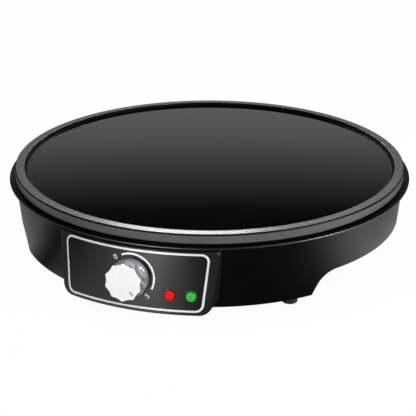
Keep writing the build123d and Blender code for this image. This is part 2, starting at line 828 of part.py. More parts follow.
with BuildPart() as panel_fascia:
    add(fascia_blank)
    with BuildSketch(knob_plane.offset(-front_depth)):
        Circle(bush_radius + bush_clear)
    extrude(amount=front_depth + over, mode=Mode.SUBTRACT)
    for place in lamp_places:
        with BuildSketch(lamp_plane(place).offset(-front_depth)):
            Circle(dome_radius + fit_gap)
        extrude(amount=front_depth + over, mode=Mode.SUBTRACT)
panel_fascia.part.label = "panel_fascia"
export_step(panel_fascia.part, "parts/panel_fascia.step")

with BuildPart() as panel_screws:
    with BuildSketch(Plane.XZ.offset(pad_plane)):
        with Locations(*panel_screw_places):
            Circle(panel_screw_shank)
    extrude(amount=panel_screw_length)
    with BuildSketch(Plane.XZ.offset(pad_plane - screw_head)):
        with Locations(*panel_screw_places):
            Circle(2 * panel_screw_shank)
    extrude(amount=screw_head)
panel_screws.part.label = "panel_screws"
export_step(panel_screws.part, "parts/panel_screws.step")

# ---------------------------------------------------------------- knob

flute_centre = knob_radius - flute_depth + flute_radius
flute_lean = degrees(atan(flute_depth / (knob_height - knob_foot)))
knob_top = knob_gap + knob_height
hub_bottom = knob_gap + knob_hub_inset
cavity_top = knob_top - knob_face
cusp_angle = 90 - pointer_angle - cusp_lead
flat_height = shaft_radius - shaft_flat

with BuildPart() as knob:
    with BuildSketch(knob_plane.offset(knob_gap)):
        Circle(knob_radius)
    extrude(amount=knob_height)
    fillet(knob.edges().filter_by(GeomType.CIRCLE).sort_by(Axis.Y)[0], knob_edge)
    # hollow flutes, deepest at the front and running out above the foot
    with Locations(knob_plane.offset(knob_top)):
        with PolarLocations(flute_centre, knob_flutes, start_angle=cusp_angle + 180 / knob_flutes):
            with Locations(Location((0, 0, 0), (0, -flute_lean, 0))):
                Cylinder(flute_radius, 4 * knob_height, mode=Mode.SUBTRACT)
    with BuildSketch(knob_plane.offset(knob_gap - over)):
        Circle(knob_radius - flute_depth - knob_wall)
        Circle(knob_hub_radius, mode=Mode.SUBTRACT)
    extrude(amount=cavity_top - knob_gap + over, mode=Mode.SUBTRACT)
    with BuildSketch(knob_plane.offset(knob_gap - over)):
        Circle(knob_hub_radius + over)
    extrude(amount=hub_bottom - knob_gap + over, mode=Mode.SUBTRACT)
    # the bore for the shaft with its flat, and the spring's slot beside the flat
    with BuildSketch(knob_plane.offset(hub_bottom - over)):
        Circle(shaft_radius + turn_gap)
        with Locations((0, flat_height + turn_gap)):
            Rectangle(4 * shaft_radius, 2 * shaft_radius, align=rising, mode=Mode.SUBTRACT)
    extrude(amount=shaft_stand + fit_gap - hub_bottom + over, mode=Mode.SUBTRACT)
    with BuildSketch(knob_plane.offset(hub_bottom - over)):
        with Locations((0, flat_height)):
            Rectangle(
                knob_clip_width + 2 * knob_clip_gap, knob_clip_thickness + 2 * knob_clip_gap, align=rising
            )
    extrude(amount=knob_clip_length + 2 * knob_clip_gap + over, mode=Mode.SUBTRACT)
    with BuildSketch(knob_plane.offset(knob_top - pointer_depth)):
        with PolarLocations((pointer_inner + pointer_outer) / 2, 1, start_angle=90 - pointer_angle):
            SlotOverall(pointer_outer - pointer_inner, pointer_width)
    extrude(amount=pointer_depth + over, mode=Mode.SUBTRACT)
knob.part.label = "knob"
export_step(knob.part, "parts/knob.step")

with BuildPart() as knob_clip:
    with BuildSketch(knob_plane.offset(hub_bottom + knob_clip_gap)):
        with Locations((0, flat_height + knob_clip_gap)):
            Rectangle(knob_clip_width, knob_clip_thickness, align=rising)
    extrude(amount=knob_clip_length)
knob_clip.part.label = "knob_clip"
export_step(knob_clip.part, "parts/knob_clip.step")

# ---------------------------------------------------------------- thermostat

thermostat_front = bracket_depth + bracket_thickness
thermostat_back = thermostat_front + thermostat_depth

with BuildPart() as thermostat_shaft:
    with BuildSketch(knob_plane.offset(-thermostat_front - shaft_seat)):
        Circle(shaft_radius)
    extrude(amount=thermostat_front + shaft_seat + shaft_stand)
    with BuildSketch(knob_plane.offset(hub_bottom - join)):
        with Locations((0, flat_height)):
            Rectangle(4 * shaft_radius, 2 * shaft_radius, align=rising)
    extrude(amount=shaft_stand, mode=Mode.SUBTRACT)
thermostat_shaft.part.label = "thermostat_shaft"
export_step(thermostat_shaft.part, "parts/thermostat_shaft.step")

with BuildPart() as thermostat_bush:
    with BuildSketch(knob_plane.offset(-thermostat_front)):
        Circle(bush_radius)
        Circle(shaft_radius + turn_gap, mode=Mode.SUBTRACT)
    extrude(amount=thermostat_front - bush_inset)
thermostat_bush.part.label = "thermostat_bush"
export_step(thermostat_bush.part, "parts/thermostat_bush.step")

with BuildPart() as thermostat_bracket:
    with BuildSketch(knob_plane.offset(-thermostat_front)):
        RectangleRounded(bracket_width, bracket_height, bracket_corner)
        Circle(bush_radius + fit_gap, mode=Mode.SUBTRACT)
        with Locations((-bracket_pitch, 0), (bracket_pitch, 0)):
            Circle(screw_radius + fit_gap, mode=Mode.SUBTRACT)
    extrude(amount=bracket_thickness)
thermostat_bracket.part.label = "thermostat_bracket"
export_step(thermostat_bracket.part, "parts/thermostat_bracket.step")

with BuildPart() as thermostat_body:
    with BuildSketch(knob_plane.offset(-thermostat_front)):
        RectangleRounded(thermostat_width, thermostat_height, bracket_corner)
    extrude(amount=-thermostat_depth)
    with BuildSketch(knob_plane.offset(-thermostat_front)):
        Circle(shaft_radius + turn_gap)
    extrude(amount=-shaft_seat - shaft_end_gap, mode=Mode.SUBTRACT)
    with BuildSketch(knob_plane.offset(-thermostat_front)):
        with Locations((-bracket_pitch, 0), (bracket_pitch, 0)):
            Circle(screw_head_radius + head_clear)
    extrude(amount=-screw_head - head_clear, mode=Mode.SUBTRACT)
thermostat_body.part.label = "thermostat_body"
export_step(thermostat_body.part, "parts/thermostat_body.step")

with BuildPart() as thermostat_screws:
    with BuildSketch(knob_plane.offset(-thermostat_front)):
        with Locations((-bracket_pitch, 0), (bracket_pitch, 0)):
            Circle(screw_radius)
    extrude(amount=thermostat_front - trim_depth - front_skin - hole_end)
    with BuildSketch(knob_plane.offset(-thermostat_front)):
        with Locations((-bracket_pitch, 0), (bracket_pitch, 0)):
            Circle(screw_head_radius)
    extrude(amount=-screw_head)
thermostat_screws.part.label = "thermostat_screws"
export_step(thermostat_screws.part, "parts/thermostat_screws.step")

blade_places = [(-blade_pitch, -blade_drop), (0.0, -blade_drop), (blade_pitch, -blade_drop)]

with BuildPart() as thermostat_terminals:
    with BuildSketch(knob_plane.offset(-thermostat_back)):
        with Locations(*blade_places):
            Rectangle(blade_thickness, blade_width)
    extrude(amount=-blade_length)
thermostat_terminals.part.label = "thermostat_terminals"
export_step(thermostat_terminals.part, "parts/thermostat_terminals.step")

# The feeler: a bulb clipped under the plate and the fine tube that joins it to the thermostat.
bulb_z = plate_under - fit_gap - bulb_radius
bulb_front = bulb_y - bulb_length / 2
capillary_low = shield_top - shield_thickness - capillary_drop
tube_start = knob_plane.from_local_coords((bulb_x, capillary_place, -thermostat_back))
tube_out = knob_plane.from_local_coords((bulb_x, capillary_place, -thermostat_back - capillary_run))

with BuildPart() as sensor_bulb:
    with BuildSketch(Plane.XZ.offset(-(bulb_y + bulb_length / 2))):
        with Locations((bulb_x, bulb_z)):
            Circle(bulb_radius)
    extrude(amount=bulb_length)
    fillet(sensor_bulb.edges().filter_by(GeomType.CIRCLE), bulb_edge)
sensor_bulb.part.label = "sensor_bulb"
export_step(sensor_bulb.part, "parts/sensor_bulb.step")

with BuildPart() as capillary_tube:
    with BuildLine() as capillary_path:
        FilletPolyline(
            tube_start,
            tube_out,
            (bulb_x, -capillary_front, capillary_low),
            (bulb_x, capillary_hole_y, capillary_low),
            (bulb_x, capillary_hole_y, bulb_z),
            (bulb_x, bulb_front, bulb_z),
            radius=(5.0, 5.0, 4.0, 4.0),
        )
    with BuildSketch(Plane(origin=tube_start, z_dir=tube_out - tube_start)):
        Circle(capillary_radius)
    sweep(path=capillary_path.wires()[0])
capillary_tube.part.label = "capillary_tube"
export_step(capillary_tube.part, "parts/capillary_tube.step")

bulb_saddle = saddle(
    bulb_x, bulb_y, plate_under - fit_gap, bulb_radius, bulb_clip_band, bulb_clip_span, bulb_clip_length
)

with BuildPart() as bulb_clip:
    add(bulb_saddle)
bulb_clip.part.label = "bulb_clip"
export_step(bulb_clip.part, "parts/bulb_clip.step")

# ---------------------------------------------------------------- pilot lamps

bore_radius = dome_radius - lens_wall
lamp_seat = front_depth + push_nut_gap + push_nut_thickness
neon_back = neon_inset - lens_depth


def lens(place):
    """A lamp's lens: flange on the face, flat-topped dome in front, open tube behind."""
    plane = lamp_plane(place)
    with BuildPart() as body:
        with BuildSketch(plane.offset(lens_lift)):
            Circle(lens_radius)
        extrude(amount=lens_flange)
        with BuildSketch(plane.offset(-lens_depth)):
            Circle(dome_radius)
        extrude(amount=lens_depth + dome_stand)
        fillet(body.edges().filter_by(GeomType.CIRCLE).sort_by(Axis.Y)[0], dome_edge)
        with BuildSketch(plane.offset(-lens_depth)):
            Circle(bore_radius)
        extrude(amount=lens_depth, mode=Mode.SUBTRACT)
    return body.part


def neon(place):
    """A neon bulb inside its lens, with its pinch and one sleeved pair of leads."""
    plane = lamp_plane(place)
    with BuildPart() as bulb:
        with BuildSketch(plane.offset(neon_back)):
            Circle(neon_radius)
        extrude(amount=neon_length)
        fillet(bulb.edges().filter_by(GeomType.CIRCLE).sort_by(Axis.Y)[0], neon_nose)
        with BuildSketch(plane.offset(neon_back)):
            SlotOverall(lead_width, lead_thickness)
        extrude(amount=-lamp_leads)
    return bulb.part


red_lens = lens(lamp_places[0])
green_lens = lens(lamp_places[1])
red_neon = neon(lamp_places[0])
green_neon = neon(lamp_places[1])

with BuildPart() as power_lens:
    add(red_lens)
power_lens.part.label = "power_lens"
export_step(power_lens.part, "parts/power_lens.step")

with BuildPart() as ready_lens:
    add(green_lens)
ready_lens.part.label = "ready_lens"
export_step(ready_lens.part, "parts/ready_lens.step")

with BuildPart() as power_lamp:
    add(red_neon)
power_lamp.part.label = "power_lamp"
export_step(power_lamp.part, "parts/power_lamp.step")

with BuildPart() as ready_lamp:
    add(green_neon)
ready_lamp.part.label = "ready_lamp"
export_step(ready_lamp.part, "parts/ready_lamp.step")

with BuildPart() as lamp_push_nuts:
    for place in lamp_places:
        with BuildSketch(lamp_plane(place).offset(-lamp_seat)):
            Circle(dome_radius + push_nut_width)
            Circle(dome_radius + push_nut_grip, mode=Mode.SUBTRACT)
        extrude(amount=push_nut_thickness)
lamp_push_nuts.part.label = "lamp_push_nuts"
export_step(lamp_push_nuts.part, "parts/lamp_push_nuts.step")

# ---------------------------------------------------------------- supply: gland, block, fuse, earth

with BuildPart() as cord_gland:
    with BuildSketch(Plane.XZ.offset(-gland_face)):
        with Locations((0, gland_height)):
            Circle(gland_flange)
    extrude(amount=-gland_flange_thickness)
    fillet(cord_gland.edges().filter_by(GeomType.CIRCLE).sort_by(Axis.Y)[-1], gland_edge)
    with BuildSketch(Plane.XZ.offset(-gland_face)):
        with Locations((0, gland_height)):
            Circle(gland_radius)
    extrude(amount=gland_face - gland_back + gland_tail)
    with BuildSketch(Plane.XZ.offset(-gland_back + gland_tail + over)):
        with Locations((0, gland_height)):
            Circle(cord_radius)
    extrude(
        amount=-(gland_face - gland_back + gland_flange_thickness + gland_tail + 2 * over),
        mode=Mode.SUBTRACT,
    )
cord_gland.part.label = "cord_gland"
export_step(cord_gland.part, "parts/cord_gland.step")

with BuildPart() as gland_nut:
    with BuildSketch(Plane.XZ.offset(-gland_back)):
        with Locations((0, gland_height)):
            RegularPolygon(gland_flange, 6)
            Circle(gland_radius + turn_gap, mode=Mode.SUBTRACT)
    extrude(amount=gland_nut_height)
gland_nut.part.label = "gland_nut"
export_step(gland_nut.part, "parts/gland_nut.step")

way_places = [way_pitch * (way - (way_count - 1) / 2) for way in range(way_count)]
way_z = cover_top + block_height / 2
block_front = block_place - block_width / 2

with BuildPart() as terminal_block:
    with BuildSketch(Plane.XY.offset(cover_top)):
        with Locations((0, block_place)):
            RectangleRounded(block_length, block_width, block_corner)
    extrude(amount=block_height)
    with BuildSketch(Plane.XZ.offset(-block_front + over)):
        with Locations(*[(place, way_z) for place in way_places]):
            Circle(way_radius)
    extrude(amount=-block_width - 2 * over, mode=Mode.SUBTRACT)
    with BuildSketch(Plane.XY.offset(cover_top + block_height)):
        with Locations(*[(place, block_place) for place in way_places]):
            Circle(well_radius)
    extrude(amount=way_radius - block_height / 2, mode=Mode.SUBTRACT)
terminal_block.part.label = "terminal_block"
export_step(terminal_block.part, "parts/terminal_block.step")

with BuildPart() as terminal_screws:
    with BuildSketch(Plane.XY.offset(cover_top + block_height - block_screw_inset)):
        with Locations(*[(place, block_place) for place in way_places]):
            Circle(block_screw_radius)
    extrude(amount=-block_screw_length)
    with BuildSketch(Plane.XY.offset(cover_top + block_height - block_screw_inset)):
        with Locations(*[(place, block_place) for place in way_places]):
            Rectangle(3 * block_screw_radius, block_slot_width)
    extrude(amount=-block_slot_depth, mode=Mode.SUBTRACT)
terminal_screws.part.label = "terminal_screws"
export_step(terminal_screws.part, "parts/terminal_screws.step")

shield_under = shield_top - shield_thickness
fuse_z = shield_under - fit_gap - fuse_radius

with BuildPart() as thermal_fuse:
    with BuildSketch(Plane.XZ.offset(-fuse_y - fuse_half)):
        with Locations((fuse_x, fuse_z)):
            Circle(fuse_radius)
    extrude(amount=2 * fuse_half)
thermal_fuse.part.label = "thermal_fuse"
export_step(thermal_fuse.part, "parts/thermal_fuse.step")

fuse_saddle = saddle(
    fuse_x, fuse_y, shield_under - fit_gap, fuse_radius, fuse_clamp_band, fuse_clamp_span, fuse_clamp_length
)

with BuildPart() as fuse_clamp:
    add(fuse_saddle)
fuse_clamp.part.label = "fuse_clamp"
export_step(fuse_clamp.part, "parts/fuse_clamp.step")

with BuildPart() as earth_tag:
    with BuildSketch(Plane.XY.offset(shield_under)):
        with Locations((earth_x, earth_y)):
            RectangleRounded(earth_width, 2 * earth_fold, earth_corner)
    extrude(amount=-blade_thickness)
    with BuildSketch(Plane.XZ.offset(-earth_y - earth_fold)):
        with Locations((earth_x, shield_under - earth_drop / 2)):
            Rectangle(blade_width, earth_drop)
    extrude(amount=-blade_thickness)
earth_tag.part.label = "earth_tag"
export_step(earth_tag.part, "parts/earth_tag.step")

# ---------------------------------------------------------------- push-on terminals and wires


def tip_plane(point, width_along, outward):
    """A blade's frame: origin at its tip, x along its width, z outwards."""
    return Plane(origin=point, x_dir=width_along, z_dir=outward)


blade_tip = -thermostat_back - blade_length
blade_tips = [
    tip_plane(knob_plane.from_local_coords((x, y, blade_tip)), knob_plane.y_dir, -knob_plane.z_dir)
    for x, y in blade_places
]
right_tip, left_tip = [
    tip_plane(leg[0] - Vector(0, 0, heater_collar + blade_length), (1, 0, 0), (0, 0, -1))
    for leg in (right_leg, left_leg)
]
earth_tip = tip_plane(
    (earth_x, earth_y + earth_fold + blade_thickness / 2, shield_under - earth_drop), (1, 0, 0), (0, 0, -1)
)

with BuildPart() as spade_sleeves:
    for tip in (*blade_tips, right_tip, left_tip, earth_tip):
        with BuildSketch(tip.offset(-sleeve_grip)):
            RectangleRounded(sleeve_width, sleeve_thickness, sleeve_corner)
        extrude(amount=sleeve_grip + sleeve_tail)
        with BuildSketch(tip.offset(-sleeve_grip)):
            Rectangle(blade_width + 2 * fit_gap, blade_thickness + 2 * fit_gap)
        extrude(amount=sleeve_grip + fit_gap, mode=Mode.SUBTRACT)
        with BuildSketch(tip):
            Circle(wire_radius + turn_gap)
        extrude(amount=2 * sleeve_tail, mode=Mode.SUBTRACT)
spade_sleeves.part.label = "spade_sleeves"
export_step(spade_sleeves.part, "parts/spade_sleeves.step")

wire_low = cover_top + wire_radius + wire_lift
way_front = block_front + way_entry


def run_in(tip, distance):
    """A point straight out from a blade's tip."""
    return tip.from_local_coords((0, 0, distance))


def lamp_back(place, distance):
    """A point behind a lamp's sleeved leads."""
    return lamp_plane(place).from_local_coords((0, 0, neon_back - lamp_leads - distance))


wire_routes = {
    "live_wire": [
        (way_places[0], way_front, way_z),
        (way_places[0], way_front - 16.0, way_z),
        (-26.0, 50.0, wire_low),
        (-26.0, -96.0, wire_low),
        run_in(blade_tips[0], 11.0),
        run_in(blade_tips[0], 1.0),
    ],
    "switched_wire": [
        run_in(blade_tips[2], 1.0),
        run_in(blade_tips[2], 11.0),
        run_in(right_tip, 13.0),
        run_in(right_tip, 1.0),
    ],
    "neutral_wire": [
        (way_places[1], way_front, way_z),
        (way_places[1], way_front - 20.0, way_z),
        (-12.0, 30.0, way_z + 6.0),
        (fuse_x, fuse_y + fuse_half + 16.0, fuse_z),
        (fuse_x, fuse_y + fuse_half + fit_gap, fuse_z),
    ],
    "return_wire": [
        (fuse_x, fuse_y - fuse_half - fit_gap, fuse_z),
        (fuse_x, fuse_y - fuse_half - 14.0, fuse_z),
        (left_leg[0].X - 17.0, left_leg[0].Y + 9.0, way_z + 6.0),
        run_in(left_tip, 13.0),
        run_in(left_tip, 1.0),
    ],
    "earth_wire": [
        (way_places[4], way_front, way_z),
        (way_places[4], way_front - 14.0, way_z),
        run_in(earth_tip, 16.0),
        run_in(earth_tip, 1.0),
    ],
    "power_lamp_wire": [
        lamp_back(lamp_places[0], 0.2),
        lamp_back(lamp_places[0], 12.0),
        (25.0, -104.0, wire_low),
        (24.0, 50.0, wire_low),
        (way_places[2], way_front - 14.0, way_z),
        (way_places[2], way_front, way_z),
    ],
    "ready_lamp_wire": [
        lamp_back(lamp_places[1], 0.2),
        lamp_back(lamp_places[1], 12.0),
        (36.0, -100.0, wire_low),
        (34.0, 60.0, wire_low),
        (way_places[3], way_front - 14.0, way_z),
        (way_places[3], way_front, way_z),
    ],
}

for wire_name, route in wire_routes.items():
    with BuildPart() as wire:
        with BuildLine() as wire_path:
            FilletPolyline(*route, radius=wire_bend)
        with BuildSketch(Plane(origin=route[0], z_dir=Vector(route[1]) - Vector(route[0]))):
            Circle(wire_radius)
        sweep(path=wire_path.wires()[0])
    wire.part.label = wire_name
    export_step(wire.part, f"parts/{wire_name}.step")
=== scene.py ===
# %% [markdown]
# # An electric crepe maker
# The appliance is a cast cooking plate on a black moulded housing, with a control panel at the front.
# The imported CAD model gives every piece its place, so this lesson only adds surfaces and finishes.
# The smooth outer pieces are worked out again as grids of points, because a CAD mesh shows facets
# in a glossy finish. The pieces inside keep their CAD meshes and get materials.

import bmesh
import bpy
import numpy as np
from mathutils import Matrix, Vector


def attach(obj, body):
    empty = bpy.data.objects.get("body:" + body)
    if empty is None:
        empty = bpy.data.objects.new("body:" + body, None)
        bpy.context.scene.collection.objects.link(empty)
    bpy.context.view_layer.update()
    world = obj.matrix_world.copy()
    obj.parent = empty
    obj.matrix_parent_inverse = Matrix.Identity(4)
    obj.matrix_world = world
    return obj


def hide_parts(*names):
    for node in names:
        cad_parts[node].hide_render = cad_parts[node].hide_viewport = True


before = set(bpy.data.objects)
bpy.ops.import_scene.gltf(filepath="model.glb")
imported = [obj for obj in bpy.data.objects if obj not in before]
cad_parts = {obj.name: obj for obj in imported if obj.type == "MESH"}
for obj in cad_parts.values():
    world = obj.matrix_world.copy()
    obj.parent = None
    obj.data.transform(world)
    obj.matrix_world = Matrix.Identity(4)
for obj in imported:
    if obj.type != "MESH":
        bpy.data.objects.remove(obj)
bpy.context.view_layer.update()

MM = 0.001  # the CAD sizes below are in millimetres, Blender's are in metres

# %% [markdown]
# ## Helpers for shapes
# Each outer piece is either a profile turned round an axis or a row of outlines, one after another.
# Both are grids of points, and numpy works out a whole grid at once. Rounded corners matter more
# than anything else on a black object, because the light runs along them as thin bright lines.


# %% A line through rounded corners
def unit(vectors):
    """Vectors along the last axis, each divided by its length."""
    return vectors / np.linalg.norm(vectors, axis=-1, keepdims=True)


def rounded_path(corners, closed=True, steps=6, runs=2, support=0.2):
    """Points along straight runs that are joined by arcs.

    Each corner is (x, y, radius). Its arc starts and ends radius / tan(half the corner's angle)
    from the corner. A point on the arc weighs the arc's first and last spoke by the sines of the
    angles to the other end, over the sine of the whole turn. Each run holds some points of its
    own, the outer two a support distance from the arcs, which keeps smooth shading flat there.
    """
    corner = np.array([entry[:2] for entry in corners], float)
    radius = np.array([entry[2] for entry in corners], float)
    before, after = np.roll(corner, 1, 0) - corner, np.roll(corner, -1, 0) - corner
    before, after = unit(before), unit(after)
    if not closed:
        before[0], after[-1] = (-after[0, 1], after[0, 0]), (-before[-1, 1], before[-1, 0])
    half = np.arccos(np.clip((before * after).sum(1), -0.999999, 0.999999)) / 2
    turn = np.pi - 2 * half
    start = corner + before * (radius / np.tan(half))[:, None]
    end = corner + after * (radius / np.tan(half))[:, None]
    middle = corner + unit(before + after) * (radius / np.sin(half))[:, None]
    share = np.linspace(0, 1, steps + 1)
    first = np.sin((1 - share) * turn[:, None]) / np.sin(turn)[:, None]
    last = np.sin(share * turn[:, None]) / np.sin(turn)[:, None]
    arcs = middle[:, None] + first[..., None] * (start - middle)[:, None]
    arcs = arcs + last[..., None] * (end - middle)[:, None]
    ahead = np.roll(start, -1, 0) - end
    margin = np.minimum(0.4, support / np.linalg.norm(ahead, axis=1))[:, None]
    along = margin + (1 - 2 * margin) * np.linspace(0, 1, runs)
    between = end[:, None] + ahead[:, None] * along[..., None]
    path = np.concatenate([arcs, between], 1).reshape(-1, 2)
    return path if closed else path[:-runs]


print("points in a rounded square:", len(rounded_path([(0, 0, 1), (9, 0, 1), (9, 9, 1), (0, 9, 1)])))


# %% A grid of points becomes a mesh
def grid_faces(rows, columns, wrap_rows, wrap_columns):
    """Quads of a grid: point (i, j) joins (i + 1, j), (i + 1, j + 1) and (i, j + 1)."""
    i = np.arange(rows if wrap_rows else rows - 1)[:, None]
    j = np.arange(columns if wrap_columns else columns - 1)[None]
    below, beside = (i + 1) % rows, (j + 1) % columns
    corners = [i * columns + j, below * columns + j, below * columns + beside, i * columns + beside]
    return np.stack(np.broadcast_arrays(*corners), -1).reshape(-1, 4)


def grid_piece(name, shells, body, materials, replaced=(), zone=None, sharp=32.0):
    """One object made of closed shells, each a grid of points and whether its rows and columns wrap.

    Points that fall together, at a pole or a seam, are merged, and the faces are turned outwards.
    A zone function may pick a material for each face from the middle of the face.
    """
    quads, count = [], 0
    for points, wrap_rows, wrap_columns in shells:
        quads.append(grid_faces(points.shape[0], points.shape[1], wrap_rows, wrap_columns) + count)
        count += points.shape[0] * points.shape[1]
    places = np.concatenate([points.reshape(-1, 3) for points, _, _ in shells]) * MM
    mesh = bpy.data.meshes.new(name)
    mesh.from_pydata(places.tolist(), [], np.concatenate(quads).tolist())
    sheet = bmesh.new()
    sheet.from_mesh(mesh)
    bmesh.ops.remove_doubles(sheet, verts=sheet.verts, dist=2e-7)
    bmesh.ops.dissolve_degenerate(sheet, edges=sheet.edges, dist=1e-7)
    bmesh.ops.recalc_face_normals(sheet, faces=sheet.faces)
    sheet.to_mesh(mesh)
    sheet.free()
    finished(name, mesh, body, materials, replaced, zone, sharp)


def finished(name, mesh, body, materials, replaced=(), zone=None, sharp=32.0):
    """Puts a mesh into the scene with its materials, its body and the nodes it stands for."""
    for material in materials:
        mesh.materials.append(material)
    if zone is not None:
        middles = np.empty(len(mesh.polygons) * 3)
        mesh.polygons.foreach_get("center", middles)
        mesh.polygons.foreach_set("material_index", zone(middles.reshape(-1, 3) / MM).astype(np.int32))
    mesh.shade_smooth()
    mesh.set_sharp_from_angle(angle=np.radians(sharp))
    piece = bpy.data.objects.new(name, mesh)
    bpy.context.scene.collection.objects.link(piece)
    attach(piece, body)
    if replaced:
        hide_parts(*replaced)
    print(f"{name}: {len(mesh.vertices)} points, {len(mesh.polygons)} faces")


# %% Surfaces of revolution and slabs
ROUND = 288  # steps round a full turn of a large piece


def turned(profile, segments=ROUND):
    """Surface of revolution round Z: (r, z) at angle a lies at (r cos a, r sin a, z)."""
    angle = np.linspace(0, 2 * np.pi, segments, endpoint=False)[:, None]
    radius, height = profile[None, :, 0], profile[None, :, 1]
    return np.stack([radius * np.cos(angle), radius * np.sin(angle), height + 0 * angle], -1)


def prism(outline, low, high):
    """A slab between two heights: the outline's middle, the outline at each height, the middle."""
    middle = np.broadcast_to(outline.mean(0), outline.shape)
    rings = [(middle, low), (outline, low), (outline, high), (middle, high)]
    return np.stack([np.column_stack([ring, np.full(len(ring), height)]) for ring, height in rings])


def placed(points, origin, across, up, out):
    """Points (a, b, c) of a frame in the object: origin + a across + b up + c out."""
    return np.asarray(origin) + points @ np.array([across, up, out])


print("a turned ring has", turned(np.array([[1.0, 0.0], [2.0, 0.0]])).shape, "points")

# %% [markdown]
# ## Sizes that come from the CAD model
# These are the same sizes as in the part's source. The plate and the housing share one axis, the
# control panel's face is part of a cone round that axis, and the knob and lamps stand square to it.

# %% Sizes of the plate and the housing
RIM_EDGE, RIM_CREST, LAND_INNER, PLATE_RADIUS = 64.5, 64.7, 145.3, 152.5
FLOOR_RADIUS, FLOOR, PLATE_UNDER, SIDE_BOTTOM = 143.2, 62.1, 59.0, 57.4
LIP_RADIUS, LIP_TOP, LIP_UNDER, OPENING_RADIUS = 157.0, 56.4, 53.9, 149.8
SKIRT_BOTTOM, SKIRT_BOTTOM_RADIUS, SKIRT_TOP_RADIUS, SKIRT_WALL = 7.0, 147.8, 152.3, 2.5
RECESS_X, RECESS_CEILING, ARCH_TOP, ARCH_HALF, ARCH_SLOPE = 112.0, 24.0, 23.5, 95.65, 6.2


def skirt_radius(height):
    """The skirt's outer radius grows evenly from its bottom edge to the lip."""
    share = (height - SKIRT_BOTTOM) / (LIP_UNDER - SKIRT_BOTTOM)
    return SKIRT_BOTTOM_RADIUS + (SKIRT_TOP_RADIUS - SKIRT_BOTTOM_RADIUS) * share


print("skirt radius at the middle:", round(skirt_radius(30.0), 2))

# %% Sizes of the control panel
PANEL_TOP, PANEL_BOTTOM, PANEL_TOP_HALF, PANEL_BOTTOM_HALF = 53.6, 7.2, 60.2, 56.0
PANEL_UPPER_BEND, PANEL_LOWER_BEND, PANEL_EDGE, PANEL_WALL = 2.0, 8.5, 1.2, 2.5
TRIM_TOP, TRIM_BOTTOM, TRIM_TOP_HALF, TRIM_BOTTOM_HALF, TRIM_BEND = 52.2, 9.7, 54.6, 51.25, 5.8
TRIM_DEPTH, TRIM_STAND, TRIM_WIDTH = 1.5, 0.3, 1.6
LEAN = np.radians(6.84)  # the face leans out towards its bottom edge
KNOB_Z, LAMP_Z = 31.8, 21.9
POWER_LAMP_X, READY_LAMP_X = 28.4, 42.9


def face_radius(height, depth=0.0):
    """Radius of the leaning face at a height, or of a layer at a depth behind it."""
    return LIP_RADIUS + (PANEL_TOP - height) * np.tan(LEAN) - depth / np.cos(LEAN)


def on_cone(outline, radius):
    """Front-view points (x, z) pushed back onto a surface of that radius: y = -sqrt(r^2 - x^2)."""
    x, z = outline[..., 0], outline[..., 1]
    return np.stack([x, -np.sqrt(radius**2 - x**2), z], -1)


def on_face(outline, depth=0.0):
    """Front-view points on the panel's face, or at a depth behind it."""
    return on_cone(outline, face_radius(outline[..., 1], depth))


def trapezoid(top, bottom, wide, narrow, upper, lower):
    """An upright shape, wider at its top, whose upper and lower corners have radii of their own."""
    corners = [(-narrow, bottom, lower), (narrow, bottom, lower), (wide, top, upper), (-wide, top, upper)]
    return rounded_path(corners, runs=26, steps=8)


def panel_outline(drop=0.0):
    """The panel's outline in front view, drawn in by a drop on every side."""
    upper, lower = max(PANEL_UPPER_BEND - drop, 0.6), PANEL_LOWER_BEND - drop
    top, bottom = PANEL_TOP - drop, PANEL_BOTTOM + drop
    return trapezoid(top, bottom, PANEL_TOP_HALF - drop, PANEL_BOTTOM_HALF - drop, upper, lower)


def trim_outline(drop=0.0):
    """The silver line's outer edge in front view, drawn in by a drop."""
    top, bottom, bend = TRIM_TOP - drop, TRIM_BOTTOM + drop, TRIM_BEND - drop
    return trapezoid(top, bottom, TRIM_TOP_HALF - drop, TRIM_BOTTOM_HALF - drop, bend, bend)


print("outline points:", len(panel_outline()), "and", len(trim_outline()))

# %% [markdown]
# ## Helpers for materials
# Colours are written as sRGB hex values, as in a paint chart, and one function turns them to the
# linear values that the shader works with. One small function adds a node, its settings and links.
# All patterns read Object coordinates, so they stay fixed to a piece when it moves.


# %% Colour and node helpers
def colour(hex_value):
    """sRGB hex to linear RGBA: below 0.04045 divide by 12.92, else ((c + 0.055) / 1.055) ^ 2.4."""
    parts = np.array([int(hex_value[i : i + 2], 16) for i in (0, 2, 4)]) / 255
    linear = np.where(parts <= 0.04045, parts / 12.92, ((parts + 0.055) / 1.055) ** 2.4)
    return (*linear.tolist(), 1.0)


def add_node(tree, kind, settings=None, sockets=None):
    """Adds one node. Settings are its properties. Sockets are values or other nodes' outputs."""
    node = tree.nodes.new(kind)
    for name, value in (settings or {}).items():
        setattr(node, name, value)
    for name, value in (sockets or {}).items():
        if isinstance(value, bpy.types.NodeSocket):
            tree.links.new(value, node.inputs[name])
        else:
            node.inputs[name].default_value = value
    return node


def new_material(name):
    """A material, its empty node tree and its Object coordinates."""
    material = bpy.data.materials.new(name)
    material.use_nodes = True
    tree = material.node_tree
    tree.nodes.clear()
    place = add_node(tree, "ShaderNodeTexCoord").outputs["Object"]
    return material, tree, place


def grey(level):
    """A linear grey as RGBA."""
    return level, level, level, 1.0


def set_ramp(node, stops):
    """Sets a colour ramp's stops from (position, RGBA colour) pairs."""
    elements = node.color_ramp.elements
    while len(elements) < len(stops):
        elements.new(1.0)
    for element, (position, shade) in zip(elements, stops):
        element.position, element.color = position, shade


def per_mm(size):
    """Noise scale whose features are about this many millimetres across."""
    return 1.0 / (size * MM)


print("mid grey is", round(colour("808080")[0], 3), "linear")


# %% A surface with fine variation
NOISE_LOW, NOISE_HIGH = 0.3, 0.7  # noise seldom strays outside these


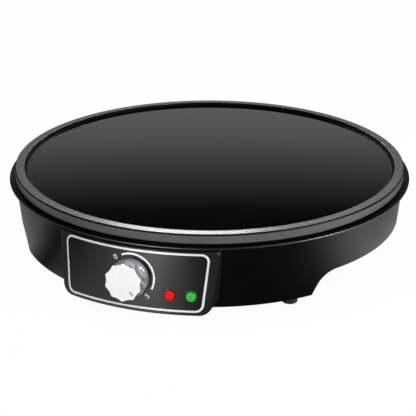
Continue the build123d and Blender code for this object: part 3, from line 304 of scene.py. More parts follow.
def coat(name, low, high, grain, rough, bump, sockets, patch=25.0):
    """A finish whose colour and roughness wander a little, with a fine grain raised by bump.

    low and high are the two colours that broad patches run between, rough is the lowest and
    highest roughness, grain is the grain's size and bump its height, both in millimetres.
    """
    material, tree, place = new_material(name)
    fine = {"Vector": place, "Scale": per_mm(grain), "Detail": 3.0, "Roughness": 0.6}
    broad = {"Vector": place, "Scale": per_mm(patch), "Detail": 2.0, "Roughness": 0.5}
    grains = add_node(tree, "ShaderNodeTexNoise", None, fine).outputs["Fac"]
    patches = add_node(tree, "ShaderNodeTexNoise", None, broad).outputs["Fac"]
    tone = add_node(tree, "ShaderNodeValToRGB", None, {"Fac": patches})
    set_ramp(tone, [(NOISE_LOW, colour(low)), (NOISE_HIGH, colour(high))])
    spread = {"Value": patches, "From Min": NOISE_LOW, "From Max": NOISE_HIGH}
    spread.update({"To Min": rough[0], "To Max": rough[1]})
    gloss = add_node(tree, "ShaderNodeMapRange", None, spread)
    raised = {"Height": grains, "Strength": 1.0, "Distance": bump * MM}
    relief = add_node(tree, "ShaderNodeBump", None, raised)
    shown = {"Base Color": tone.outputs["Color"], "Roughness": gloss.outputs["Result"]}
    shown["Normal"] = relief.outputs["Normal"]
    shader = add_node(tree, "ShaderNodeBsdfPrincipled", None, {**shown, **sockets})
    add_node(tree, "ShaderNodeOutputMaterial", None, {"Surface": shader.outputs["BSDF"]})
    return material


print("finish helper ready")

# %% [markdown]
# ## The plate's finishes
# The cooking surface is aluminium sprayed with a dark non-stick coat (PTFE), which cures smooth and
# satin: it mirrors the studio softly. The rim's top is turned after casting and coated thinner, so it
# is a lighter satin grey. A sprayed coat is never quite even, so its gloss wanders over 30 mm. On the
# well's steep wall and along the outer edge the coat is rougher, and a darker, weakly reflecting copy
# of it paints the thin dark lines there as painted shade.

# %% Non-stick coats
nonstick = coat(
    "ptfe_nonstick_coat", "020202", "040404", grain=1.2, rough=(0.024, 0.03), bump=0.0002,
    sockets={"IOR": 1.5}, patch=30.0,
)
rim_coat = coat(
    "turned_rim_coat", "666667", "6b6b6c", grain=0.9, rough=(0.21, 0.23), bump=0.0002,
    sockets={"IOR": 1.5, "Metallic": 0.7}, patch=18.0,
)
# Painted reflection: the side's lighter grey stands in for the bright floor that the black coat would mirror
# there.
painted_reflection_coat = coat(
    "painted_reflection_side_coat", "525253", "575758", grain=0.9, rough=(0.26, 0.30), bump=0.0004,
    sockets={"IOR": 1.5, "Specular IOR Level": 0.3}, patch=18.0,
)
# Painted shade: a darker, weakly reflecting copy of the coat paints thin dark lines on the well's wall and
# the outer edge.
painted_shade_coat = coat(
    "painted_shade_matt_coat", "010101", "030303", grain=0.9, rough=(0.40, 0.48), bump=0.0006,
    sockets={"IOR": 1.5, "Specular IOR Level": 0.15}, patch=18.0,
)
print("coats:", nonstick.name, rim_coat.name, painted_reflection_coat.name, painted_shade_coat.name)

# %% [markdown]
# ## The cooking plate
# The plate is one casting: a flat floor, a wall that rises to the rim, the rim's gently sloping top
# and a straight side. Underneath are a rib that centres it in the housing, a channel for the heater
# and four bosses. A profile turned round the axis gives all of it but the bosses in one surface.

# %% Make the cooking plate
RIB_OUTER, RIB_INNER, RIB_EDGE = 149.0, 146.5, 52.5  # the rib that centres the plate
CHANNEL_RIBS, CHANNEL_EDGE = [(96.1, 94.1), (85.9, 83.9)], PLATE_UNDER - 3.0
BOSS_RADIUS, BOSS_PLACE, BOSS_BOTTOM = 6.0, 79.196, 47.0
JOIN = 0.4  # one shell of a casting or moulding runs this far into the next
channel = []
for outer, inner in CHANNEL_RIBS:
    channel += [(outer, PLATE_UNDER, 0.2), (outer, CHANNEL_EDGE, 0.3)]
    channel += [(inner, CHANNEL_EDGE, 0.3), (inner, PLATE_UNDER, 0.2)]
plate_profile = rounded_path(
    [
        (0, FLOOR, 0),
        (FLOOR_RADIUS, FLOOR, 1.2),
        (LAND_INNER, RIM_CREST, 0.5),
        (PLATE_RADIUS, RIM_EDGE, 1.1),
        (PLATE_RADIUS, SIDE_BOTTOM, 0.8),
        (RIB_OUTER, SIDE_BOTTOM, 0.5),
        (RIB_OUTER, RIB_EDGE, 0.5),
        (RIB_INNER, RIB_EDGE, 0.5),
        (RIB_INNER, PLATE_UNDER, 1.0),
        *channel,
        (0, PLATE_UNDER, 0),
    ],
    closed=False,
)
FOUR_CORNERS = np.array([(1, 1), (-1, 1), (-1, -1), (1, -1)])
circle = turned(np.array([[1.0, 0.0]]), 32)[:, 0, :2]
boss_outlines = [BOSS_RADIUS * circle + middle for middle in BOSS_PLACE * FOUR_CORNERS]
boss_shells = [(prism(outline, BOSS_BOTTOM, PLATE_UNDER + JOIN), False, True) for outline in boss_outlines]


def plate_zone(middles):
    """0 is the cooking surface, 1 the rim's top, 2 the side and underside, 3 the wall and outer edge.

    The borders lie between two rows of points, so each takes in whole rows of faces.
    """
    radius, height = np.hypot(middles[:, 0], middles[:, 1]), middles[:, 2]
    # Zone 2, the side and underside, takes the lighter grey of painted reflection.
    outside = (height < FLOOR - 0.2) | (radius > PLATE_RADIUS - 0.2) & (height < RIM_EDGE - 1.0)
    # Zone 3, the wall and the outer edge, takes the painted shade coat.
    wall = (radius < LAND_INNER + 0.1) & (height > FLOOR + 0.015) & (height < RIM_CREST - 0.12)
    edge = (radius > PLATE_RADIUS - 1.0) & (height < RIM_EDGE - 0.02)
    return np.select([outside, wall | edge, height > RIM_CREST - 0.6], [2, 3, 1], 0)


grid_piece(
    "cooking_plate_surface",
    [(turned(plate_profile), True, False), *boss_shells],
    "base",
    [nonstick, rim_coat, painted_reflection_coat, painted_shade_coat],
    ["cooking_plate"],
    plate_zone,
)
print("rim crest at", RIM_CREST, "mm")

# %% [markdown]
# ## Black plastics
# Heat-resistant mouldings are made in a mould with a fine spark-eroded texture, which blurs what
# they mirror. The lip's top has a coarser texture, and its darker, weakly reflecting black is painted
# shade. Its edge is a lighter, glossier black, a painted highlight line. The panel's front is a
# separate polished part, so it is smoother and darker.

# %% Black plastic finishes
housing_plastic = coat(
    "moulded_black_phenolic", "020202", "040404", grain=0.7, rough=(0.22, 0.26), bump=0.0008,
    sockets={"IOR": 1.5}, patch=22.0,
)
# Painted shade: the lip's top is darker and reflects weakly, so that it shows black.
lip_top_painted_shade = coat(
    "textured_phenolic_painted_shade", "010101", "030303", grain=0.7, rough=(0.45, 0.5), bump=0.0008,
    sockets={"IOR": 1.5, "Specular IOR Level": 0.1}, patch=22.0,
)
# Painted highlight: the lip's edge is lighter and glossier, so that it shows a thin bright line.
lip_edge_painted_highlight = coat(
    "black_phenolic_painted_highlight", "101010", "141414", grain=0.7, rough=(0.30, 0.34), bump=0.0002,
    sockets={"IOR": 1.5, "Specular IOR Level": 1.0}, patch=22.0,
)
panel_plastic = coat(
    "satin_black_abs", "121212", "161616", grain=0.7, rough=(0.30, 0.34), bump=0.0006,
    sockets={"IOR": 1.5}, patch=22.0,
)
fascia_plastic = coat(
    "polished_black_acrylic", "010101", "030303", grain=2.5, rough=(0.28, 0.31), bump=0.0003,
    sockets={"IOR": 1.49}, patch=16.0,
)
plastics = (housing_plastic, lip_top_painted_shade, lip_edge_painted_highlight, panel_plastic, fascia_plastic)
print("plastics:", [plastic.name for plastic in plastics])

# %% [markdown]
# ## The housing
# The housing is a tapering skirt under a lip, with an arch in each side where a hand goes in to
# lift it. Its profile is carried round the axis, but the lower edge isn't level: it follows the
# arch. So the outer and the inner wall each look up how high the arch is where they stand. Steps
# round the axis come closer together at the steep ends of the arches.

# %% The arch's edge
ARCH_BEND = 14.0
arch_corners = [
    (0, ARCH_TOP, 0),
    (ARCH_HALF - ARCH_SLOPE, ARCH_TOP, ARCH_BEND),
    (ARCH_HALF, SKIRT_BOTTOM, 0),
]
arch_line = rounded_path(arch_corners, closed=False, steps=16, runs=6)


def edge_height(azimuth, inset):
    """Height of the skirt's lower edge at an azimuth, for the wall that stands an inset inside.

    The arch is cut straight along X, so its height depends on |Y| = radius x |sin(azimuth)|, and the
    radius depends on the height: a few rounds of looking up settle both.
    """
    height = np.full_like(azimuth, SKIRT_BOTTOM)
    for _ in range(8):
        across = (skirt_radius(height) - inset) * np.abs(np.sin(azimuth))
        height = np.interp(across, arch_line[:, 0], arch_line[:, 1], right=SKIRT_BOTTOM)
    return height


arch_end = np.arcsin(ARCH_HALF / SKIRT_BOTTOM_RADIUS)
before_end, after_end = np.radians(np.linspace(0, 9, 46)), np.radians(np.linspace(0.1, 1.5, 8))
near_end = np.concatenate([arch_end - before_end, arch_end + after_end])
ends = np.concatenate([near_end, np.pi - near_end, np.pi + near_end, 2 * np.pi - near_end])
azimuths = np.unique(np.round(np.concatenate([ends, np.linspace(0, 2 * np.pi, 240, endpoint=False)]), 5))
print("arch ends at", round(float(np.degrees(arch_end)), 2), "degrees;", len(azimuths), "steps round")

# %% The walls, the recesses and the shelf
EDGE = 0.3  # bevel along the skirt's lower edge
LIP_START = LIP_UNDER - 2.0  # the lip's profile starts and ends at this height
WALL_TOP = LIP_START - 0.4  # the walls' last row of points
RECESS_HALF, RECESS_FOOT, RECESS_ROOF, WALL_ROOF = 95.9, 7.5, 26.5, 26.4
SHELF_RADIUS, SHELF_REACH, SHELF_UNDER, SHELF_TOP = 107.3, 149.0, 39.5, 42.0
lip_profile = rounded_path(
    [
        (SKIRT_TOP_RADIUS - 0.2, LIP_START, 0),
        (SKIRT_TOP_RADIUS, LIP_UNDER, 0.4),
        (LIP_RADIUS - 1.5, LIP_UNDER, 0.5),
        (LIP_RADIUS, LIP_UNDER + 1.4, 0.5),
        (LIP_RADIUS, LIP_TOP, 0.8),
        (OPENING_RADIUS, LIP_TOP, 0.5),
        (OPENING_RADIUS, LIP_START, 0),
    ],
    closed=False,
)


def wall_columns(azimuth, inset, side):
    """Radius and height of one wall's points from its bevelled lower edge up to the lip."""
    low = edge_height(azimuth, inset)[:, None]
    share = np.linspace(0, 1, 14)[None]
    height = low + EDGE + (WALL_TOP - low - EDGE) * share
    radius = skirt_radius(height) - inset
    foot = np.concatenate([radius[:, :1] - side * EDGE, low], 1)
    return np.concatenate([foot[:, :1], radius], 1), np.concatenate([foot[:, 1:], height], 1)


outer_radius, outer_height = wall_columns(azimuths, 0.0, 1)
inner_radius, inner_height = wall_columns(azimuths, SKIRT_WALL, -1)
lip_radius = np.broadcast_to(lip_profile[:, 0], (len(azimuths), len(lip_profile)))
lip_height = np.broadcast_to(lip_profile[:, 1], lip_radius.shape)
ring_radius = np.concatenate([outer_radius, lip_radius, inner_radius[:, ::-1]], 1)
ring_height = np.concatenate([outer_height, lip_height, inner_height[:, ::-1]], 1)
ring_x, ring_y = ring_radius * np.cos(azimuths)[:, None], ring_radius * np.sin(azimuths)[:, None]
skirt_grid = np.stack([ring_x, ring_y, ring_height], -1)


def recess_ceiling(side):
    """A slab over the hand's recess: from the chord at the inner wall out to the skirt."""
    reach, chord = SKIRT_BOTTOM_RADIUS - JOIN, RECESS_X - SKIRT_WALL
    y = np.linspace(-1, 1, 97) * np.sqrt(reach**2 - chord**2)
    arc = np.column_stack([np.sqrt(reach**2 - y**2), y])
    line = np.column_stack([np.full_like(y, chord), y])
    corners = [(line, RECESS_CEILING), (arc, RECESS_CEILING), (arc, RECESS_ROOF), (line, RECESS_ROOF)]
    loop = [np.column_stack([side * edge[:, 0], edge[:, 1], np.full(len(y), z)]) for edge, z in corners]
    return np.stack(loop, 1), False, True


def recess_wall(side):
    """The recess's inner wall, a flat slab between the base cover and the ceiling."""
    inner, outer, half = side * (RECESS_X - SKIRT_WALL), side * RECESS_X, RECESS_HALF
    outline = np.array([(inner, -half), (outer, -half), (outer, half), (inner, half)])
    return prism(outline, RECESS_FOOT, WALL_ROOF), False, True


def flat_ring(inner, outer, low, high, bend, nose):
    """Profile of a flat ring with rounded edges, whose upper outer edge has a radius of its own."""
    corners = [(inner, low, bend), (outer, low, bend), (outer, high, nose), (inner, high, bend)]
    return rounded_path(corners, steps=3)


shelf = flat_ring(SHELF_RADIUS, SHELF_REACH, SHELF_UNDER, SHELF_TOP, 0.3, 0.3)
recesses = [recess_ceiling(1), recess_ceiling(-1), recess_wall(1), recess_wall(-1)]
print("housing ring:", skirt_grid.shape)

# %% The pad for the cord gland and the bosses for the base screws
GLAND_Z, GLAND_HOLE, PAD_RADIUS, PAD_BACK, PAD_FRONT = 20.0, 6.3, 10.5, 145.05, 150.4
SCREW_BOSS, SCREW_X, SCREW_Y, SCREW_LOW, SCREW_HIGH = 4.5, 64.0, 110.85, 9.5, 40.0
pad_profile = flat_ring(GLAND_HOLE, PAD_RADIUS, PAD_BACK, PAD_FRONT, 0.2, 0.5)
gland_pad = placed(turned(pad_profile, 64), (0, 0, GLAND_Z), (1, 0, 0), (0, 0, 1), (0, 1, 0)), True, True
screw_outlines = [SCREW_BOSS * circle + place for place in FOUR_CORNERS * (SCREW_X, SCREW_Y)]
screw_bosses = [(prism(outline, SCREW_LOW, SCREW_HIGH), False, True) for outline in screw_outlines]
print("pad points:", gland_pad[0].shape, "bosses:", len(screw_bosses))


# %% Put the housing together
def housing_zone(middles):
    """0 is the moulded plastic, 1 the lip's textured top in painted shade, 2 its edge with a painted
    highlight line.
    """
    reach, on_top = np.hypot(middles[:, 0], middles[:, 1]), middles[:, 2] > LIP_TOP - 0.3
    return np.where(on_top, 1, np.where(reach > LIP_RADIUS - 1.6, 2, 0))


grid_piece(
    "housing_shell",
    [(skirt_grid, True, True), (turned(shelf, ROUND // 2), True, True), gland_pad, *recesses, *screw_bosses],
    "base",
    [housing_plastic, lip_top_painted_shade, lip_edge_painted_highlight],
    ["housing"],
    housing_zone,
)
print("housing top at", LIP_TOP, "mm")

# %% [markdown]
# ## The control panel
# The panel's case stands proud of the skirt. Seen from the front its outline is a trapezoid with
# rounded corners. Outlines of different sizes follow one another: along the side, round the front
# edge, over the face, down into a shallow seat for the front and back along the hollow inside. Each is
# pushed back onto the cone it belongs to.


# %% The case of the control panel
def shrunk(outline, share):
    """An outline drawn towards the panel's middle, for the rings that fill a face."""
    middle = np.array([0.0, (PANEL_TOP + PANEL_BOTTOM) / 2])
    return middle + (outline - middle) * share


CASE_GAP = 0.1  # the case's back edge stays this far off the skirt
BESIDE = 0.2  # one more row of points this far beside an edge keeps the shading flat
seat_edge, cavity = trim_outline(), panel_outline(PANEL_WALL)
quarter = np.linspace(0, np.pi / 2, 7)
fill = np.linspace(1, 0, 14)
on_skirt = skirt_radius(panel_outline()[:, 1]) + CASE_GAP
case_rings = [on_cone(panel_outline(), on_skirt), on_face(panel_outline(), PANEL_EDGE + BESIDE)]
edge_drops, edge_depths = PANEL_EDGE * (1 - np.cos(quarter)), PANEL_EDGE * (1 - np.sin(quarter))
case_rings += [on_face(panel_outline(drop), depth) for drop, depth in zip(edge_drops, edge_depths)]
case_rings += [on_face(panel_outline(PANEL_EDGE + BESIDE)), on_face(trim_outline(-BESIDE))]
case_rings += [on_face(seat_edge), on_face(seat_edge, TRIM_DEPTH)]
case_rings += [on_face(shrunk(seat_edge, share), TRIM_DEPTH) for share in fill]
case_rings += [on_face(shrunk(cavity, share), TRIM_DEPTH + PANEL_WALL) for share in fill[::-1]]
case_rings += [on_cone(cavity, skirt_radius(cavity[:, 1]) + CASE_GAP)]
grid_piece(
    "control_case",
    [(np.stack(case_rings), True, True)],
    "base",
    [panel_plastic],
    ["control_box"],
)
print("rings along the case:", len(case_rings))

# %% The front
FIT = 0.1  # between the front, the line and their seat
front_edge = trim_outline(TRIM_WIDTH + FIT)
front_rings = [on_face(shrunk(front_edge, share)) for share in fill[::-1]]
front_rings += [on_face(shrunk(front_edge, share), TRIM_DEPTH - FIT) for share in fill]
grid_piece(
    "panel_front",
    [(np.stack(front_rings), False, True)],
    "base",
    [fascia_plastic],
    ["panel_fascia"],
)

# %% [markdown]
# The silver line is a slim moulding, sprayed with silver lacquer. It is rounded on top, and lacquer is
# bright from every side but never as clear as chrome.

# %% The silver line round the front
trim_lacquer = coat(
    "silver_lacquer_line", "d8d8da", "e2e2e4", grain=0.5, rough=(0.34, 0.40), bump=0.0006,
    sockets={"Metallic": 0.15}, patch=8.0,
)
BEND = 0.35  # the line's front edges are rounded with this radius
rise, fall = BEND * np.sin(quarter), BEND * np.cos(quarter)
line_path = [(FIT, TRIM_DEPTH - FIT), (FIT, BEND)]
line_path += list(zip(FIT + BEND - fall, BEND - TRIM_STAND - rise))
line_path += list(zip(TRIM_WIDTH - BEND + rise, BEND - TRIM_STAND - fall)) + [(TRIM_WIDTH, TRIM_DEPTH - FIT)]
line_rings = [on_face(trim_outline(drop), depth) for drop, depth in line_path]
grid_piece(
    "silver_line", [(np.stack(line_rings), True, True)], "base", [trim_lacquer], ["panel_trim"]
)

# %% [markdown]
# ## The scale round the knob
# The white arc and the numbers are screen-printed ink. A print has almost no height, so it lies
# a twentieth of a millimetre in front of the face and follows its curve. The numbers are text, which
# becomes a mesh once, and each of its points is then moved onto the face.

# %% Print the scale
ink = coat(
    "white_screen_ink", "e6e6e6", "f2f2f2", grain=0.4, rough=(0.45, 0.55), bump=0.0005,
    sockets={"IOR": 1.5}, patch=5.0,
)
PRINT_LIFT, PRINT_SINK = 0.05, -0.02  # the print's front and back, in front of the face
DIAL_START, DIAL_END, DIAL_INNER, DIAL_OUTER = -26.5, 115.0, 16.18, 17.53
NUMBER_SIZE, NUMBER_REACH, NUMBER_TILT = 5.4, 17.6, 40.0
UP = np.array([0.0, np.sin(LEAN), np.cos(LEAN)])
OUT = np.array([0.0, -np.cos(LEAN), np.sin(LEAN)])
ACROSS = np.array([1.0, 0.0, 0.0])
KNOB_SEAT = np.array([0.0, -face_radius(KNOB_Z), KNOB_Z])


def print_on_face(flat, lift):
    """Flat print points (a, b) round the knob's axis, laid on the face and lifted off it a little."""
    x, z = flat[..., 0], KNOB_Z + flat[..., 1] * np.cos(LEAN)
    return on_face(np.stack([x, z], -1), -lift)


sweep = np.radians(np.linspace(DIAL_START, DIAL_END, 72))[:, None]
band = np.array([DIAL_INNER, DIAL_OUTER])[None]
arc_flat = np.stack([band * np.sin(sweep), band * np.cos(sweep)], -1)
arc_sides = [print_on_face(arc_flat, PRINT_LIFT), print_on_face(arc_flat, PRINT_SINK)[:, ::-1]]
arc_loop = np.concatenate(arc_sides, 1)
first_end, last_end = [end.mean(1, keepdims=True).repeat(4, 1) for end in (arc_loop[:1], arc_loop[-1:])]
arc_grid = np.concatenate([first_end, arc_loop, last_end])
grid_piece("dial_arc", [(arc_grid, False, True)], "base", [ink])


# %% Print the two numbers
def printed_number(name, text, turn):
    """A number centred at an angle clockwise from up, made a mesh and laid on the face."""
    font = bpy.data.curves.new(name + "_type", "FONT")
    font.body, font.size, font.align_x, font.align_y = text, NUMBER_SIZE, "CENTER", "CENTER"
    font.extrude, font.resolution_u = 0.5, 6
    letter = bpy.data.objects.new(name + "_type", font)
    bpy.context.scene.collection.objects.link(letter)
    bpy.context.view_layer.update()
    graph = bpy.context.evaluated_depsgraph_get()
    mesh = bpy.data.meshes.new_from_object(letter.evaluated_get(graph))
    bpy.data.objects.remove(letter)
    flat = np.empty(len(mesh.vertices) * 3)
    mesh.vertices.foreach_get("co", flat)
    flat = flat.reshape(-1, 3)
    tilt, turn = np.radians(NUMBER_TILT), np.radians(turn)
    a = flat[:, 0] * np.cos(tilt) - flat[:, 1] * np.sin(tilt) + NUMBER_REACH * np.sin(turn)
    b = flat[:, 0] * np.sin(tilt) + flat[:, 1] * np.cos(tilt) + NUMBER_REACH * np.cos(turn)
    lift = np.where(flat[:, 2] > 0, PRINT_LIFT, PRINT_SINK)
    spots = print_on_face(np.stack([a, b], -1), lift)
    mesh.vertices.foreach_set("co", (spots * MM).ravel())
    mesh.update()
    finished(name, mesh, "base", [ink])


printed_number("scale_number_low", "0", -44.0)
printed_number("scale_number_high", "5", 135.0)

# %% [markdown]
# ## The knob
# The knob is moulded, lacquered silver on its sides and painted white on its face. Ten hollow flutes
# give the fingers a hold. Each flute is part of an upright cylinder, equally deep from the face down, whose
# lower end curves out along a quarter circle.
# The surface's two parameters are the angle round the axis and the height along it, and the angles
# are bunched so that a row of points runs exactly along each flute's edge.

# %% The knob's surface
KNOB_RADIUS, KNOB_BASE, KNOB_FACE, FLUTE, FLUTE_DEPTH, KNOB_FOOT = 13.65, 0.5, 14.8, 12.0, 1.05, 2.6
FLUTE_END = 4.0  # the flute's lower end is rounded with this radius
FLUTES = 10
POINTER = 136.0  # degrees clockwise from up
FIRST_FLUTE = 90 - POINTER - 8.0 + 180 / FLUTES  # degrees anticlockwise from the right


def knob_ring(height, inset=0.0):
    """One ring of the knob: the smaller of the plain radius and the flute's radius at each angle.

    A flute of radius q stands at distance c from the axis. At angle d from its middle its near side
    is at c cos(d) - sqrt(q^2 - c^2 sin(d)^2), and it meets the plain radius R where
    cos(d) = (R^2 + c^2 - q^2) / (2 R c). Near its lower end q shrinks along a quarter circle.
    """
    above = np.clip(height - KNOB_BASE - KNOB_FOOT, 0.0, FLUTE_END)
    reach = FLUTE - FLUTE_END + np.sqrt(FLUTE_END**2 - (FLUTE_END - above) ** 2)
    centre = min(KNOB_RADIUS - FLUTE_DEPTH + FLUTE, KNOB_RADIUS - 1e-3 + reach)
    meet = np.arccos((KNOB_RADIUS**2 + centre**2 - reach**2) / (2 * KNOB_RADIUS * centre))
    plain = np.linspace(-np.pi / FLUTES, -meet, 3)[:-1]
    hollow = np.linspace(-meet, meet, 21)
    one = np.concatenate([plain, hollow, -plain[:0:-1]])
    radius = centre * np.cos(one) - np.sqrt(reach**2 - (centre * np.sin(one)) ** 2)
    radius = np.where(np.abs(one) > meet - 1e-9, KNOB_RADIUS, radius) - inset
    starts = np.radians(FIRST_FLUTE + 360 / FLUTES * np.arange(FLUTES))
    angle = (starts[:, None] + one[None]).ravel()
    radius = np.tile(radius, FLUTES)
    return np.column_stack([radius * np.cos(angle), radius * np.sin(angle), np.full(len(angle), height)])


ROUNDING = 0.6  # between the knob's side and its face
# The rings are closest together where the flutes' lower ends curve, from their tips upwards.
foot = [KNOB_BASE, KNOB_BASE + 0.2, 2.0, KNOB_BASE + KNOB_FOOT]
scoop = KNOB_BASE + KNOB_FOOT + FLUTE_END * (1 - np.cos(np.linspace(0.72, np.pi / 2, 16)))
side = np.linspace(8.0, KNOB_FACE - ROUNDING, 8)
knob_rings = [knob_ring(level) for level in (*foot, *scoop, *side)]
bend_levels = KNOB_FACE - ROUNDING + ROUNDING * np.sin(quarter[1:])
bend_insets = ROUNDING * (1 - np.cos(quarter[1:]))
knob_rings += [knob_ring(level, inset) for level, inset in zip(bend_levels, bend_insets)]
face_ring = knob_rings[-1]
knob_rings += [face_ring * (share, share, 1.0) for share in (0.985, 0.85, 0.6, 0.3, 0.0)]


def inner_ring(radius, height):
    """A plain round ring with as many points as the knob's outer rings."""
    ring = knob_ring(KNOB_BASE)
    spread = np.hypot(ring[:, 0], ring[:, 1])[:, None]
    return np.column_stack([ring[:, :2] / spread * radius, np.full(len(ring), height)])


# The hollow inside: the shaft's hole, the end of the hub, and the space between hub and outer wall.
HOLE, HOLE_END, HUB, HUB_BASE, INSIDE, INSIDE_END = 3.5, 10.7, 5.6, 1.3, 10.8, 11.8
hollow_profile = [(0.0, HOLE_END), (HOLE, HOLE_END), (HOLE, HUB_BASE), (HUB, HUB_BASE)]
hollow_profile += [(HUB, INSIDE_END), (INSIDE, INSIDE_END), (INSIDE, KNOB_BASE)]
knob_rings += [inner_ring(radius, height) for radius, height in hollow_profile]
knob_grid = placed(np.stack(knob_rings), KNOB_SEAT, ACROSS, UP, OUT)
print("knob rings:", len(knob_rings), "of", len(face_ring), "points")

# %% Knob finishes
knob_white = coat(
    "satin_white_enamel", "efefef", "f7f7f7", grain=0.5, rough=(0.38, 0.44), bump=0.0006,
    sockets={"IOR": 1.5}, patch=9.0,
)
knob_silver = coat(
    "satin_silver_lacquer", "c0c0c3", "c8c8cb", grain=0.5, rough=(0.13, 0.17), bump=0.0001,
    sockets={"Metallic": 0.7}, patch=9.0,
)


def knob_zone(middles):
    """0 is the white face, 1 the silver side."""
    along = (middles - KNOB_SEAT) @ OUT
    return np.where(along > KNOB_FACE - ROUNDING * 0.5, 0, 1)


grid_piece(
    "knob_body",
    [(knob_grid, True, True)],
    "knob",
    [knob_white, knob_silver],
    ["knob"],
    knob_zone,
    sharp=24.0,
)

# %% [markdown]
# The pointer is a short groove in the knob's face, filled with grey paint. It is drawn as a small
# capsule-shaped inlay that lies flush in the face.

# %% The pointer
pointer_paint = coat(
    "grey_pointer_paint", "a0a0a3", "a8a8ab", grain=0.4, rough=(0.5, 0.6), bump=0.0005,
    sockets={"IOR": 1.5}, patch=3.0,
)
INLAY_SPAN, INLAY_HALF, INLAY_BEND, INLAY_DEPTH, INLAY_LIFT = (7.6, 11.3), 0.75, 0.7, 0.3, 0.02
near, far = INLAY_SPAN
inlay_corners = [(near, -INLAY_HALF), (far, -INLAY_HALF), (far, INLAY_HALF), (near, INLAY_HALF)]
inlay_flat = rounded_path([(*corner, INLAY_BEND) for corner in inlay_corners])
sine, cosine = np.sin(np.radians(POINTER)), np.cos(np.radians(POINTER))
inlay_turned = inlay_flat @ np.array([(sine, cosine), (cosine, -sine)])
pointer_shape = prism(inlay_turned, KNOB_FACE - INLAY_DEPTH, KNOB_FACE + INLAY_LIFT)
grid_piece(
    "knob_pointer",
    [(placed(pointer_shape, KNOB_SEAT, ACROSS, UP, OUT), False, True)],
    "knob",
    [pointer_paint],
)

# %% [markdown]
# ## The lamps
# Each pilot lamp is a clear coloured lens with a neon bulb behind it. Light leaves through the dome,
# so the dome looks bright and the flange round it dark: the dome's brighter colour is painted bulb
# light and the flange's darker colour is painted shade. A little emission on the dome stands for the
# lit bulb, and the shape is a profile turned round the lamp's own axis.


# %% Lens finishes and shape
# The facets' noise varies the painted bulb light in the lens's colour.
LENS_FACET = 1.5  # size of the small facets inside a lens, which scatter the bulb's light


def lens_material(name, deep, bright, glow):
    """Coloured polystyrene: clear gloss over a colour, brighter for a dome where the bulb is near as painted
    bulb light, darker for a flange as painted shade.
    """
    material, tree, place = new_material(name)
    facets = {"Vector": place, "Scale": per_mm(LENS_FACET), "Detail": 2.0}
    cells = add_node(tree, "ShaderNodeTexNoise", None, facets)
    tone = add_node(tree, "ShaderNodeValToRGB", None, {"Fac": cells.outputs["Fac"]})
    set_ramp(tone, [(0.35, colour(deep)), (0.65, colour(bright))])
    shown = {"Base Color": tone.outputs["Color"], "Emission Color": tone.outputs["Color"]}
    shown.update({"Emission Strength": glow, "Roughness": 0.25, "IOR": 1.59, "Specular IOR Level": 0.15})
    shader = add_node(tree, "ShaderNodeBsdfPrincipled", None, shown)
    add_node(tree, "ShaderNodeOutputMaterial", None, {"Surface": shader.outputs["BSDF"]})
    return material


DOME, BORE, DOME_TOP, BORE_TOP, LENS_END = 3.7, 2.8, 2.2, 1.2, -14.0
FLANGE, FLANGE_TOP, FLANGE_BACK = 4.4, 0.75, 0.25
BRIGHT_RADIUS, BRIGHT_FROM = 3.35, 1.7  # the part of the dome that the bulb lights
lens_profile = rounded_path(
    [
        (0, DOME_TOP, 0),
        (DOME, DOME_TOP, 0.7),
        (DOME, FLANGE_TOP, 0.1),
        (FLANGE, FLANGE_TOP, 0.2),
        (FLANGE, FLANGE_BACK, 0.1),
        (DOME, FLANGE_BACK, 0.1),
        (DOME, LENS_END, 0.1),
        (BORE, LENS_END, 0.1),
        (BORE, BORE_TOP, 0.4),
        (0, BORE_TOP, 0),
    ],
    closed=False,
)


def lamp_frame(place):
    """A lamp's origin on the face and its three directions, square to the leaning face there."""
    radius = face_radius(LAMP_Z)
    turn = np.arcsin(place / radius)
    out = np.array([np.sin(turn) * np.cos(LEAN), -np.cos(turn) * np.cos(LEAN), np.sin(LEAN)])
    across = np.array([np.cos(turn), np.sin(turn), 0.0])
    return np.array([place, -radius * np.cos(turn), LAMP_Z]), across, np.cross(out, across), out


def lens_piece(name, place, node, dome, flange):
    """A lens at its place on the face, with a bright dome and a dark flange."""
    origin, across, up, out = lamp_frame(place)

    def zone(middles):
        local = middles - origin
        spread = np.hypot(local @ across, local @ up)
        return np.where((local @ out > BRIGHT_FROM) & (spread < BRIGHT_RADIUS), 0, 1)

    grid = placed(turned(lens_profile, 64), origin, across, up, out)
    grid_piece(name, [(grid, True, False)], "base", [dome, flange], [node], zone)


# The domes' brighter tones are painted bulb light, the flanges' darker tones painted shade.
red_dome = lens_material("red_polystyrene_lens", "c4060a", "dc0c12", 0.06)
red_flange = lens_material("red_lens_flange", "6a0406", "7c080a", 0.0)
green_dome = lens_material("green_polystyrene_lens", "2c9634", "4cb44c", 0.06)
green_flange = lens_material("green_lens_flange", "0e4a16", "14581c", 0.0)
lens_piece("power_lamp_lens", POWER_LAMP_X, "power_lens", red_dome, red_flange)
lens_piece("ready_lamp_lens", READY_LAMP_X, "ready_lens", green_dome, green_flange)

# %% [markdown]
# ## Feet
# Four rubber feet are pushed into the base cover. Rubber is soft and matt, and its lower edge is
# rounded off so that it doesn't mark the table.

